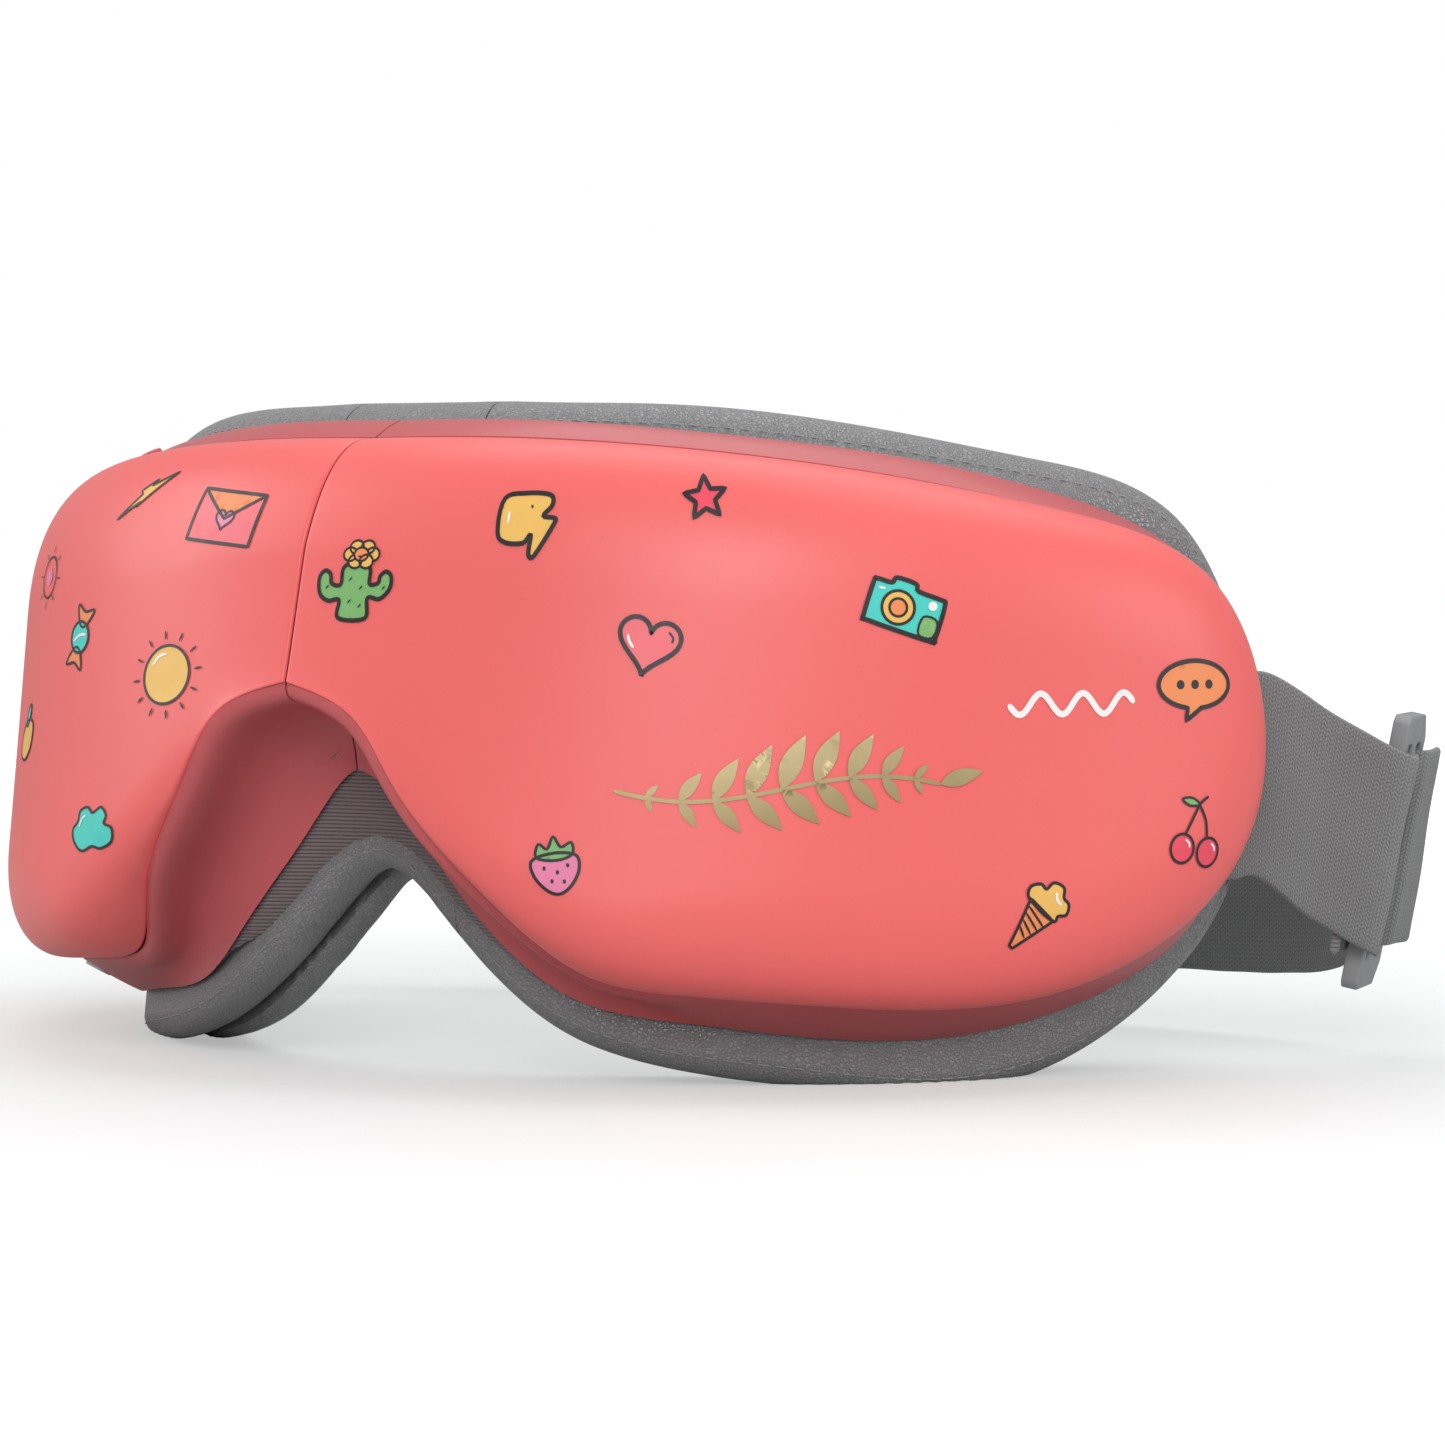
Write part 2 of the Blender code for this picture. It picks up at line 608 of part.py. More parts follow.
# ---------------------------------------------------------------- controls on the side wall


def wall_frame(station, share, side):
    """A matrix on the side wall: local X along the edge, local Y towards the back, local Z outwards."""
    at = np.array([station - 1.0, station, station + 1.0])
    front, rear = spline(COVER_EDGE, at), spline(BAND_EDGE, at)
    a, b = place(*front.T, side), place(*rear.T, side)
    origin = Vector(a[1] + share * (b[1] - a[1])) * MM
    back = Vector(b[1] - a[1]).normalized()
    along = Vector(a[2] - a[0])
    out = along.cross(back).normalized() * side
    middle = Vector(place(np.array(70.0), np.array(47.0), np.array(9.0), side)) * MM
    if out.dot(origin - middle) < 0:
        out = -out
    along = back.cross(out).normalized()
    where = Matrix.Identity(4)
    for column, axis in enumerate((along, back, out)):
        where.col[column][:3] = axis
    where.translation = origin
    return where


def raised(where, height):
    return where @ Matrix.Translation((0.0, 0.0, height * MM))


def build_controls(wall):
    """Two push buttons, their switches and a status light on top, and a charging port below."""
    for name, switch, station in (("power_button", "power_switch", 72.0), ("mode_button", "mode_switch", 96.0)):
        where = wall_frame(station, 0.42, RIGHT)
        hole = block(name + "_hole", (11.0, 4.0, 8.0), where, (0.5, 0.0), PLASTIC, 0.0)
        boolean(wall, hole, "DIFFERENCE")
        block(name, (10.2, 3.2, 2.8), raised(where, -0.4), (0.4, 0.0), ROSE, 0.5)
        below = raised(where, -3.6) @ Matrix.Translation((0.0, -1.8 * MM, 0.0))
        block(switch, (4.0, 2.4, 1.4), below, (0.5, 0.0), PLASTIC, 0.2)
    where = wall_frame(84.0, 0.42, RIGHT)
    boolean(wall, drum("light_hole", 1.4, 8.0, where, (0.5, 0.0), PLASTIC, 20), "DIFFERENCE")
    drum("status_light", 1.0, 2.4, raised(where, -0.9), (0.2, 0.0), (0.9, 0.9, 0.95), 20)
    where = wall_frame(236.0, 0.34, RIGHT)
    hole = block("port_hole", (9.8, 4.0, 8.0), where, (0.5, 0.0), PLASTIC, 0.0)
    boolean(wall, hole, "DIFFERENCE")
    port = block("charge_port", (9.0, 3.2, 7.0), raised(where, -3.4), (0.3, 1.0), STEEL, 0.2)
    mouth = block("port_mouth", (8.0, 2.2, 6.0), raised(where, 0.2 - 0.6), (0.5, 0.0), PLASTIC, 0.3)
    boolean(port, mouth, "DIFFERENCE")


# ---------------------------------------------------------------- inner parts


def build_half(side, word):
    front_cover("front_cover_" + word, side)
    wall = housing("housing_" + word, side)
    back_frame("back_frame_" + word, side)
    face_cushion("face_cushion_" + word, side)
    eye = (76.0, 45.5)
    pillow("eye_pad_" + word, eye, (40.0, 20.0), (27.6, 32.5), side, (0.85, 0.0), FABRIC)
    pillow("heater_" + word, eye, (34.0, 15.0), (26.2, 27.2), side, (0.6, 0.0), (0.75, 0.30, 0.06), 2.6, 0.5)
    pillow("airbag_" + word, eye, (37.0, 17.0), (21.8, 25.8), side, (0.3, 0.0), (0.75, 0.78, 0.80), 2.6, 0.6)
    drum("speaker_" + word, 7.5, 4.4, frame_at(123.0, 46.0, 9.0, side) @ Matrix.Rotation(np.pi / 2, 4, "X"),
         (0.5, 0.0), (0.05, 0.05, 0.05), 28)
    drum("vibration_motor_" + word, 3.2, 11.0, frame_at(24.0, 62.0, 9.6, side), (0.3, 1.0), STEEL)
    eccentric_weight("vibration_weight_" + word, side)
    where = frame_at(136.8, 39.4, 17.35, side)
    block("strap_clamp_" + word, (3.6, 0.8, STRAP_WIDTH + 1.0), where, (0.35, 1.0), STEEL, 0.2)
    for number, (s, z) in enumerate(((28.0, 64.0), (121.0, 58.0), (121.0, 33.0)), start=1):
        housing_screw(f"housing_screw_{word}_{number}", s, z, side)
    return wall


def eccentric_weight(name, side):
    """A half disc on the motor shaft, with the shaft stub it is pressed on."""
    where = frame_at(24.0, 53.6, 9.6, side)
    weight = drum(name, 3.0, 3.6, where, (0.3, 1.0), (0.45, 0.42, 0.38))
    cut = block(name + "_cut", (8.0, 6.0, 8.0), where @ Matrix.Translation((0, -3.9 * MM, 0)), (0.5, 0), STEEL, 0)
    boolean(weight, cut, "DIFFERENCE")
    return weight


def housing_screw(name, s, z, side):
    """A countersunk screw seated on the back frame's rear face."""
    low, high, low_depth, high_depth = limits(BAND, np.array([s]))
    share = (z - low[0]) / (high[0] - low[0])
    rear = low_depth[0] + (high_depth[0] - low_depth[0]) * share
    where = frame_at(s, z, rear + 1.1, side) @ Matrix.Rotation(np.pi / 2, 4, "X")
    return drum(name, 1.6, 1.2, where, (0.35, 1.0), STEEL, 16)


def build_electrics():
    block("battery", (46.0, 6.0, 28.0), frame_at(60.0, 47.0, 9.4, LEFT), (0.5, 0.0), (0.10, 0.20, 0.45), 1.0)
    drum("air_pump_motor", 5.4, 20.0, frame_at(97.0, 52.0, 9.4, LEFT), (0.3, 1.0), STEEL, 28)
    block("air_pump_head", (12.0, 10.0, 11.0), frame_at(97.0, 35.8, 9.4, LEFT), (0.5, 0.0), PLASTIC, 0.6)
    block("air_valve", (7.0, 7.0, 13.0), frame_at(109.0, 46.0, 9.2, LEFT), (0.5, 0.0), (0.75, 0.75, 0.72), 0.5)
    air_tube([(103.6, 33.2), (105.6, 33.3), (107.7, 34.3), (108.8, 36.4), (109.0, 39.0)])
    block("main_board", (58.0, 1.4, 32.0), frame_at(66.0, 48.0, 11.0, RIGHT), (0.5, 0.0), GREEN, 0.2)


def air_tube(path):
    """A soft tube from the pump head round to the valve's lower nipple."""
    centres = curve_through([place(s, z, 9.2) for s, z in path], 14)
    curve = bpy.data.curves.new("air_tube", "CURVE")
    curve.dimensions = "3D"
    curve.bevel_depth = 1.3 * MM
    curve.bevel_resolution = 3
    curve.use_fill_caps = True
    line = curve.splines.new("POLY")
    line.points.add(len(centres) - 1)
    for point, centre in zip(line.points, centres):
        point.co = (*(centre * MM), 1.0)
    tube = bpy.data.objects.new("air_tube", curve)
    PARTS.objects.link(tube)
    curve.materials.append(material("air_tube_look", (0.80, 0.80, 0.78), 0.4))
    return tube


def hinge_leaf(name, side, spans):
    """A plate on the back frame with knuckles round the pin."""
    middle = (HINGE_BOTTOM + HINGE_TOP) / 2
    height = HINGE_TOP - HINGE_BOTTOM

    def at(x, dy, z):
        return Matrix.Translation(Vector((x, HINGE_Y + dy, z)) * MM)

    leaf = block(name, (10.0, 1.2, height), at(8.4 * side, -2.2, middle), (0.35, 1.0), STEEL, 0.0)
    for low, high in spans:
        centre, length = (low + high) / 2, high - low
        arm = block(name + "_arm", (5.0, 1.6, length), at(2.6 * side, -1.9, centre), (0.3, 1.0), STEEL, 0.0)
        boolean(leaf, arm, "UNION")
        ring = drum(name + "_ring", 2.2, length + 0.02, at(0.0, 0.0, centre), (0.3, 1.0), STEEL, 20)
        boolean(leaf, ring, "UNION")
    bore = drum(name + "_bore", 1.3, 60.0, at(0.0, 0.0, middle), (0.3, 1.0), STEEL, 20)
    boolean(leaf, bore, "DIFFERENCE")
    return leaf


def build_hinge():
    hinge_leaf("hinge_leaf_left", LEFT, ((HINGE_BOTTOM, 55.6), (64.4, HINGE_TOP)))
    hinge_leaf("hinge_leaf_right", RIGHT, ((56.0, 64.0),))
    middle = Matrix.Translation(Vector((0.0, HINGE_Y, (HINGE_BOTTOM + HINGE_TOP) / 2)) * MM)
    drum("hinge_pin", 1.0, HINGE_TOP - HINGE_BOTTOM + 1.0, middle, (0.25, 1.0), STEEL, 20)
    cable = [(x, 12.5 + 0.9 * abs(np.sin(x / 2.2)), 68.0) for x in np.linspace(-11.0, 11.0, 15)]
    ribbon("hinge_cable", cable, np.zeros((15, 2)), 9.0, 0.6, (0.5, 0.0), (0.85, 0.55, 0.15))


def hang_on_axes():
    """Parents the left half to the mask's origin, and the right half to the fold axis."""
    mask = bpy.data.objects.new("mask_origin", None)
    fold = bpy.data.objects.new("fold_axis", None)
    parts = list(PARTS.objects) + list(CUTTERS.objects)
    PARTS.objects.link(mask)
    PARTS.objects.link(fold)
    mask.location = Vector(SHIFT) * MM
    fold.parent = mask
    fold.location = (0.0, HINGE_Y * MM, 0.0)
    for obj in parts:
        folds = "_right" in obj.name or obj.name.startswith(RIGHT_HALF)
        obj.parent = fold if folds else mask
        if folds:
            obj.matrix_parent_inverse = Matrix.Translation((0.0, -HINGE_Y * MM, 0.0))


# ---------------------------------------------------------------- the mask

build_half(LEFT, "left")
build_controls(build_half(RIGHT, "right"))
bridge_cushion()
nose_gusset()
build_electrics()
build_hinge()
NEAR = near_strap_path()
FAR = far_strap_path()
ribbon("strap_left", NEAR, strap_lean(NEAR), STRAP_WIDTH, STRAP_THICK, (0.9, 0.0), WEBBING)
ribbon("strap_main", FAR, strap_lean(FAR), STRAP_WIDTH, STRAP_THICK, (0.9, 0.0), WEBBING)
buckle()
hang_on_axes()
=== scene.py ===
"""Looks of the folding eye massager mask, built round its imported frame. Millimetres until mesh_piece()."""

import math

import bmesh
import bpy
import numpy as np
from mathutils import Matrix, Vector
from mathutils.geometry import delaunay_2d_cdt


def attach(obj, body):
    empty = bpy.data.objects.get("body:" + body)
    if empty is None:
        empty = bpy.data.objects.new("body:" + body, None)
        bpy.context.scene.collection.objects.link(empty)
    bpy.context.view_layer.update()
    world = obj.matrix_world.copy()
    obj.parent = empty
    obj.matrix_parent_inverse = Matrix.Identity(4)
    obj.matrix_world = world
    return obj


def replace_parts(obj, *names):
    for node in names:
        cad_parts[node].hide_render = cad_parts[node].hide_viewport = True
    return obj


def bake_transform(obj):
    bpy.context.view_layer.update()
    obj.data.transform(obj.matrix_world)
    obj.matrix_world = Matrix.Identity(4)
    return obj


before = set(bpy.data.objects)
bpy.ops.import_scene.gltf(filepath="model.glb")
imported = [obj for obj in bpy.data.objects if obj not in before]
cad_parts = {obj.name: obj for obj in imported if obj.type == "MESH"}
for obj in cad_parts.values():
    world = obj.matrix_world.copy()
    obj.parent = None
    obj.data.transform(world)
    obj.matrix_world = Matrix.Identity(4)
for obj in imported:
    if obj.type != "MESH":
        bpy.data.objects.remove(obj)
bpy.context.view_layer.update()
SCENE = bpy.context.scene
MM = 0.001

# ------------------------------------------------------------------ unrolled coordinates, as in the part

CURVE_LENGTH = 137.0
BEND, SLACKEN = 1.33, 0.165
LEAN, LEAN_HEIGHT = 0.23, 57.0
SHIFT = np.array([-3.9, -68.1, 0.0])
LEFT, RIGHT = 1, -1
BODY = {LEFT: "left_half", RIGHT: "right_half"}
WORD = {LEFT: "left", RIGHT: "right"}

LOOP_AT = [0, 21, 64, 110, 132, 155, 180, 201, 241, 260, 274, 291, 307, 318, 331]
COVER_EDGE = [
    (0, 85, 11), (21, 85, 11), (64, 82.5, 11), (110, 75.5, 10.5), (132, 67, 8.5),
    (141, 45.5, 7.5), (133, 24.5, 8.5), (114, 14, 10), (74, 11.5, 11), (55, 13, 12),
    (42, 15.5, 13), (28.5, 27, 5.5), (17.5, 40, 1), (11.5, 48.5, -0.5), (0, 53, 0),
]
BAND_EDGE = [
    (0, 87.5, 17), (22, 87.5, 17), (64.5, 85, 17), (112, 78, 16.5), (135.5, 68, 15),
    (143, 45.5, 14), (136.5, 20.5, 15), (116.5, 9.5, 19), (74, 6.5, 21), (54, 8.5, 22),
    (38.5, 11, 22.5), (23.5, 20.5, 21), (12, 31.5, 20.5), (5.5, 38, 19.5), (0, 41, 18),
]
ROLL_EDGE = [
    (0, 90, 24), (22, 90, 24), (65, 88.5, 24), (113, 82.5, 23), (138, 74, 22),
    (152, 46.5, 23.5), (142.5, 16.5, 23), (117.5, 1.5, 24.5), (74, -0.5, 26.5), (56, 1.5, 27),
    (38.5, 5, 27.5), (22.5, 13.5, 28.5), (11.5, 21.5, 29), (6, 25.5, 29), (0, 27.5, 29),
]
CUSHION_FRONT = [18, 18, 18, 17, 17.5, 19.5, 18.5, 20, 22, 23, 23.5, 24, 24.5, 24.5, 25]
ROLL_OVER = [20, 20, 20, 19, 18, 17, 17, 17, 17, 15, 12, 8, 7, 7, 7]
LOOP_END = 331.0
ROLL_POWER = 2.4
ROLL_RADIUS, REAR_ROLL_RADIUS, REAR_ROLL_BACK, CUSHION_WIDTH = 4.8, 3.8, 6.7, 17.0
CUSHION_START = 15.9
EYE_CENTRE, EYE_HALF, EYE_POWER = (76.0, 45.5), (40.0, 20.0), 2.3

RAIL_S = np.linspace(0.0, 185.0, 741)
RAIL_T = RAIL_S / CURVE_LENGTH
RAIL_HEADING = BEND * RAIL_T - SLACKEN * np.minimum(RAIL_T, 1.12) ** 5


def running_sum(values):
    return np.concatenate([[0.0], np.cumsum(0.5 * (values[1:] + values[:-1]) * np.diff(RAIL_S))])


RAIL_X = running_sum(np.cos(RAIL_HEADING))
RAIL_Y = running_sum(np.sin(RAIL_HEADING))


def unit(vectors):
    return vectors / np.maximum(np.linalg.norm(vectors, axis=-1, keepdims=True), 1e-9)


def run_along(line):
    """Distance travelled at each point of a line."""
    return np.concatenate([[0.0], np.cumsum(np.linalg.norm(np.diff(line, axis=0), axis=1))])


def place(s, z, d, side=LEFT):
    """Bends unrolled coordinates, along the front, up and back, round the face."""
    s, z, d = np.broadcast_arrays(np.asarray(s, float), np.asarray(z, float), np.asarray(d, float))
    far = np.abs(s)
    heading = np.interp(far, RAIL_S, RAIL_HEADING)
    depth = d + LEAN * (z - LEAN_HEIGHT) * np.clip(1.0 - far / CURVE_LENGTH, 0.0, 1.0)
    x = np.interp(far, RAIL_S, RAIL_X) - np.sin(heading) * depth
    y = np.interp(far, RAIL_S, RAIL_Y) + np.cos(heading) * depth
    return np.stack([x * np.where(s < 0, -1.0, 1.0) * side, y, z], axis=-1)


def spline(values, at):
    """A smooth curve through the values given at LOOP_AT, with no bending at its two ends."""
    knots = np.asarray(LOOP_AT, float)
    values = np.asarray(values, float)
    if values.ndim == 1:
        return spline(values[:, None], at)[:, 0]
    count = len(knots)
    step = np.diff(knots)
    rows = np.zeros((count, count))
    right = np.zeros_like(values)
    rows[0, 0] = rows[-1, -1] = 1.0
    for i in range(1, count - 1):
        rows[i, i - 1 : i + 2] = step[i - 1], 2 * (step[i - 1] + step[i]), step[i]
        right[i] = 6 * ((values[i + 1] - values[i]) / step[i] - (values[i] - values[i - 1]) / step[i - 1])
    bend = np.linalg.solve(rows, right)
    k = np.clip(np.searchsorted(knots, at, side="right") - 1, 0, count - 2)
    u = (at - knots[k])[:, None]
    h = step[k][:, None]
    slope = (values[k + 1] - values[k]) / h - h * (2 * bend[k] + bend[k + 1]) / 6
    return values[k] + u * slope + u**2 * bend[k] / 2 + u**3 * (bend[k + 1] - bend[k]) / (6 * h)


def outward(edge):
    """Normals of an outline, level with the seam where it starts and ends there."""
    along = np.gradient(edge[:, :2], axis=0)
    normal = unit(np.stack([-along[:, 1], along[:, 0]], axis=1))
    if edge[0, 0] < 1.0:
        normal[0] = (0.0, 1.0)
    if edge[-1, 0] < 1.0:
        normal[-1] = (0.0, -1.0)
    return normal


def smoothstep(low, high, at):
    t = np.clip((np.asarray(at, float) - low) / (high - low), 0.0, 1.0)
    return t * t * (3 - 2 * t)


# ------------------------------------------------------------------ camera, floor and light


def aim(obj, where, target):
    obj.location = where
    obj.rotation_euler = (Vector(target) - Vector(where)).to_track_quat("-Z", "Y").to_euler()


camera_data = bpy.data.cameras.new("view")
camera_data.lens = 127.0
camera_data.sensor_width = 36.0
camera_data.clip_start = 0.01
camera_data.clip_end = 50.0
camera = bpy.data.objects.new("view", camera_data)
SCENE.collection.objects.link(camera)
CAMERA_AT, CAMERA_AIM = (0.42, -0.585, 0.075), (0.013, 0.0075, 0.0455)
aim(camera, CAMERA_AT, CAMERA_AIM)
SCENE.camera = camera
SCENE.view_settings.view_transform = "Standard"

world = bpy.data.worlds.new("studio")
SCENE.world = world
world.use_nodes = True
SKY_STRENGTH = 0.40
studio = world.node_tree
sky = studio.nodes["Background"]
sky.inputs["Strength"].default_value = SKY_STRENGTH
paper = studio.nodes.new("ShaderNodeBackground")
for shader in (sky, paper):
    shader.inputs["Color"].default_value = (1.0, 1.0, 1.0, 1.0)
seen = studio.nodes.new("ShaderNodeLightPath")
either = studio.nodes.new("ShaderNodeMixShader")
for source, socket in zip((seen.outputs["Is Camera Ray"], sky.outputs[0], paper.outputs[0]), either.inputs):
    studio.links.new(source, socket)
studio.links.new(either.outputs[0], studio.nodes["World Output"].inputs["Surface"])


def softbox(name, where, target, width, height, power):
    data = bpy.data.lights.new(name, "AREA")
    data.shape = "RECTANGLE"
    data.size, data.size_y = width, height
    data.energy = power
    light = bpy.data.objects.new(name, data)
    SCENE.collection.objects.link(light)
    aim(light, where, target)


softbox("key_softbox", (0.55, -0.9, 0.55), (0.04, -0.03, 0.04), 0.6, 0.5, 5.6)
softbox("top_softbox", (0.0, 0.25, 0.95), (0.0, 0.0, 0.05), 1.1, 0.8, 4.4)
softbox("left_softbox", (-0.85, -0.35, 0.5), (0.0, 0.0, 0.05), 0.5, 0.6, 3.2)
softbox("right_softbox", (0.9, 0.15, 0.3), (0.08, 0.02, 0.05), 0.4, 0.4, 1.8)

# ------------------------------------------------------------------ materials


class Nodes:
    """Short calls for building a node tree."""

    def __init__(self, name):
        self.material = bpy.data.materials.new(name)
        self.material.use_nodes = True
        self.tree = self.material.node_tree
        self.shader = self.tree.nodes["Principled BSDF"]

    def add(self, kind, **values):
        node = self.tree.nodes.new(kind)
        for key, value in values.items():
            setattr(node, key, value)
        return node

    def put(self, socket, value):
        if isinstance(value, bpy.types.NodeSocket):
            self.tree.links.new(value, socket)
        else:
            socket.default_value = value

    def where(self):
        return self.add("ShaderNodeTexCoord").outputs["Object"]

    def noise(self, vector, scale, detail=3.0, rough=0.55):
        node = self.add("ShaderNodeTexNoise")
        self.put(node.inputs["Vector"], vector)
        node.inputs["Scale"].default_value = scale
        node.inputs["Detail"].default_value = detail
        node.inputs["Roughness"].default_value = rough
        return node.outputs["Fac"]

    def uneven(self, vector, scale, detail, low, high, start=0.3, end=0.7):
        """Noise spread between two values."""
        return self.span(self.noise(vector, scale, detail), start, end, low, high)

    def wear(self):
        return self.add("ShaderNodeAttribute", attribute_name="wear").outputs["Fac"]

    def cells(self, vector, scale):
        node = self.add("ShaderNodeTexVoronoi", feature="DISTANCE_TO_EDGE")
        self.put(node.inputs["Vector"], vector)
        node.inputs["Scale"].default_value = scale
        return node.outputs["Distance"]

    def maths(self, operation, a, b=0.0, c=0.0):
        node = self.add("ShaderNodeMath", operation=operation)
        for socket, value in zip(node.inputs, (a, b, c)):
            self.put(socket, value)
        return node.outputs[0]

    def span(self, value, low, high, new_low, new_high):
        node = self.add("ShaderNodeMapRange")
        for name, number in zip(
            ("Value", "From Min", "From Max", "To Min", "To Max"), (value, low, high, new_low, new_high),
        ):
            self.put(node.inputs[name], number)
        return node.outputs["Result"]

    def blend(self, share, first, second):
        node = self.add("ShaderNodeMix", data_type="RGBA")
        self.put(node.inputs[0], share)
        for socket, value in ((node.inputs[6], first), (node.inputs[7], second)):
            self.put(socket, (*value, 1.0) if isinstance(value, tuple) else value)
        return node.outputs[2]

    def bump(self, height, distance, strength=1.0):
        node = self.add("ShaderNodeBump")
        node.inputs["Strength"].default_value = strength
        node.inputs["Distance"].default_value = distance
        self.put(node.inputs["Height"], height)
        self.put(self.shader.inputs["Normal"], node.outputs["Normal"])

    def split(self, vector):
        node = self.add("ShaderNodeSeparateXYZ")
        self.put(node.inputs[0], vector)
        return node.outputs

    def finish(self, colour, rough, **sockets):
        self.put(self.shader.inputs["Base Color"], (*colour, 1.0) if isinstance(colour, tuple) else colour)
        self.put(self.shader.inputs["Roughness"], rough)
        for name, value in sockets.items():
            self.shader.inputs[name.replace("_", " ")].default_value = value
        return self.material


def srgb(red, green, blue):
    return tuple(
        c / 12.92 if c <= 0.04045 else ((c + 0.055) / 1.055) ** 2.4
        for c in (red / 255, green / 255, blue / 255)
    )


def shade(colour, factor):
    return tuple(min(1.0, c * factor) for c in colour)


def shell_paint(name, colour, rough, coat):
    """Satin moulded plastic: faint tone changes, fine orange peel, drier, lighter worn edges where wear is
    above zero, and painted shade, close to black, in the gaps at the parting lines where it is below."""
    n = Nodes(name)
    at = n.where()
    tone = n.blend(n.noise(at, 26.0, 2.0), shade(colour, 0.955), shade(colour, 1.03))
    specks = n.uneven(at, 1900.0, 2.0, 0.0, 0.10, 0.62, 0.74)
    tone = n.blend(specks, tone, shade(colour, 0.72))
    wear = n.wear()
    worn = n.maths("MULTIPLY", n.maths("MAXIMUM", wear, 0.0), n.uneven(at, 160.0, 4.0, 0.15, 0.85, 0.35, 0.7))
    tone = n.blend(n.maths("MULTIPLY", worn, 0.35), tone, shade(colour, 1.45))
    # Below zero the wear attribute carries painted shade: the gaps at the parting lines go close to black.
    painted_gap_shade = n.maths("MAXIMUM", n.maths("MULTIPLY", wear, -1.0), 0.0)
    tone = n.blend(n.maths("MULTIPLY", painted_gap_shade, 0.9), tone, shade(colour, 0.10))
    peel = n.maths("ADD", n.noise(at, 700.0, 2.0), n.maths("MULTIPLY", n.noise(at, 4200.0, 1.0), 0.25))
    n.bump(peel, 0.00001, 0.55)
    dry = n.maths("ADD", n.uneven(at, 55.0, 4.0, rough - 0.03, rough + 0.04), n.maths("MULTIPLY", worn, 0.12))
    return n.finish(tone, dry, Coat_Weight=coat, Coat_Roughness=0.28, Specular_IOR_Level=0.42)


def leather(name, colour):
    """Soft coated leather: pebbled grain with darker creases and a slight sheen."""
    n = Nodes(name)
    at = n.where()
    warp = n.add("ShaderNodeVectorMath", operation="MULTIPLY_ADD")
    noisy = n.add("ShaderNodeTexNoise")
    n.put(noisy.inputs["Vector"], at)
    noisy.inputs["Scale"].default_value = 420.0
    n.put(warp.inputs[0], noisy.outputs["Color"])
    warp.inputs[1].default_value = (0.0012, 0.0012, 0.0012)
    n.put(warp.inputs[2], at)
    crease = n.cells(warp.outputs[0], 1900.0)
    pebble = n.span(crease, 0.0, 0.24, 0.0, 1.0)
    broad = n.noise(at, 300.0, 3.0)
    tone = n.blend(pebble, shade(colour, 0.66), shade(colour, 1.08))
    tone = n.blend(n.uneven(at, 34.0, 3.0, 0.0, 0.35), tone, shade(colour, 0.88))
    wear = n.wear()
    tone = n.blend(n.maths("MULTIPLY", wear, 0.28), tone, shade(colour, 1.5))
    n.bump(n.maths("ADD", pebble, n.maths("MULTIPLY", broad, 1.6)), 0.00009, 0.85)
    return n.finish(
        tone, n.span(pebble, 0.0, 1.0, 0.5, 0.3), Sheen_Weight=0.08, Sheen_Roughness=0.4,
        Specular_IOR_Level=0.7,
    )


def webbing(name, colour):
    """Woven elastic band: columns of slanted threads across its width."""
    n = Nodes(name)
    uv = n.split(n.add("ShaderNodeUVMap", uv_map="UVMap").outputs["UV"])
    column = n.maths("DIVIDE", uv[0], 0.9)
    slant = n.maths("PINGPONG", column, 0.5)
    turn = n.maths("ADD", n.maths("DIVIDE", uv[1], 0.62), n.maths("MULTIPLY", slant, 1.5))
    thread = n.maths("ABSOLUTE", n.maths("SINE", n.maths("MULTIPLY", turn, math.pi)))
    rib = n.maths("ABSOLUTE", n.maths("SINE", n.maths("MULTIPLY", column, 2 * math.pi)))
    height = n.maths("MULTIPLY", n.maths("POWER", thread, 0.7), n.maths("POWER", rib, 0.5))
    at = n.where()
    fuzz = n.noise(at, 3200.0, 2.0)
    tone = n.blend(n.span(height, 0.0, 0.9, 0.0, 1.0), shade(colour, 0.52), shade(colour, 1.16))
    tone = n.blend(n.span(fuzz, 0.3, 0.8, 0.0, 0.3), tone, shade(colour, 1.35))
    tone = n.blend(n.uneven(at, 40.0, 3.0, 0.0, 0.22, 0.35, 0.7), tone, shade(colour, 0.72))
    n.bump(n.maths("ADD", height, n.maths("MULTIPLY", fuzz, 0.3)), 0.00016, 0.8)
    return n.finish(tone, n.span(fuzz, 0.3, 0.7, 0.74, 0.9), Sheen_Weight=0.25, Sheen_Roughness=0.5)


def ribbed(name, colour):
    """Ribbed knitted elastic with level ribs."""
    n = Nodes(name)
    at = n.where()
    z = n.split(at)[2]
    rib = n.maths("ABSOLUTE", n.maths("SINE", n.maths("MULTIPLY", z, math.pi / 0.00052)))
    knit = n.noise(at, 2600.0, 2.0)
    tone = n.blend(n.span(rib, 0.1, 0.9, 0.0, 1.0), shade(colour, 0.45), shade(colour, 1.2))
    tone = n.blend(n.span(knit, 0.35, 0.75, 0.0, 0.3), tone, shade(colour, 1.5))
    n.bump(n.maths("ADD", rib, n.maths("MULTIPLY", knit, 0.3)), 0.00018, 0.85)
    return n.finish(tone, n.span(knit, 0.3, 0.7, 0.72, 0.9), Sheen_Weight=0.2)


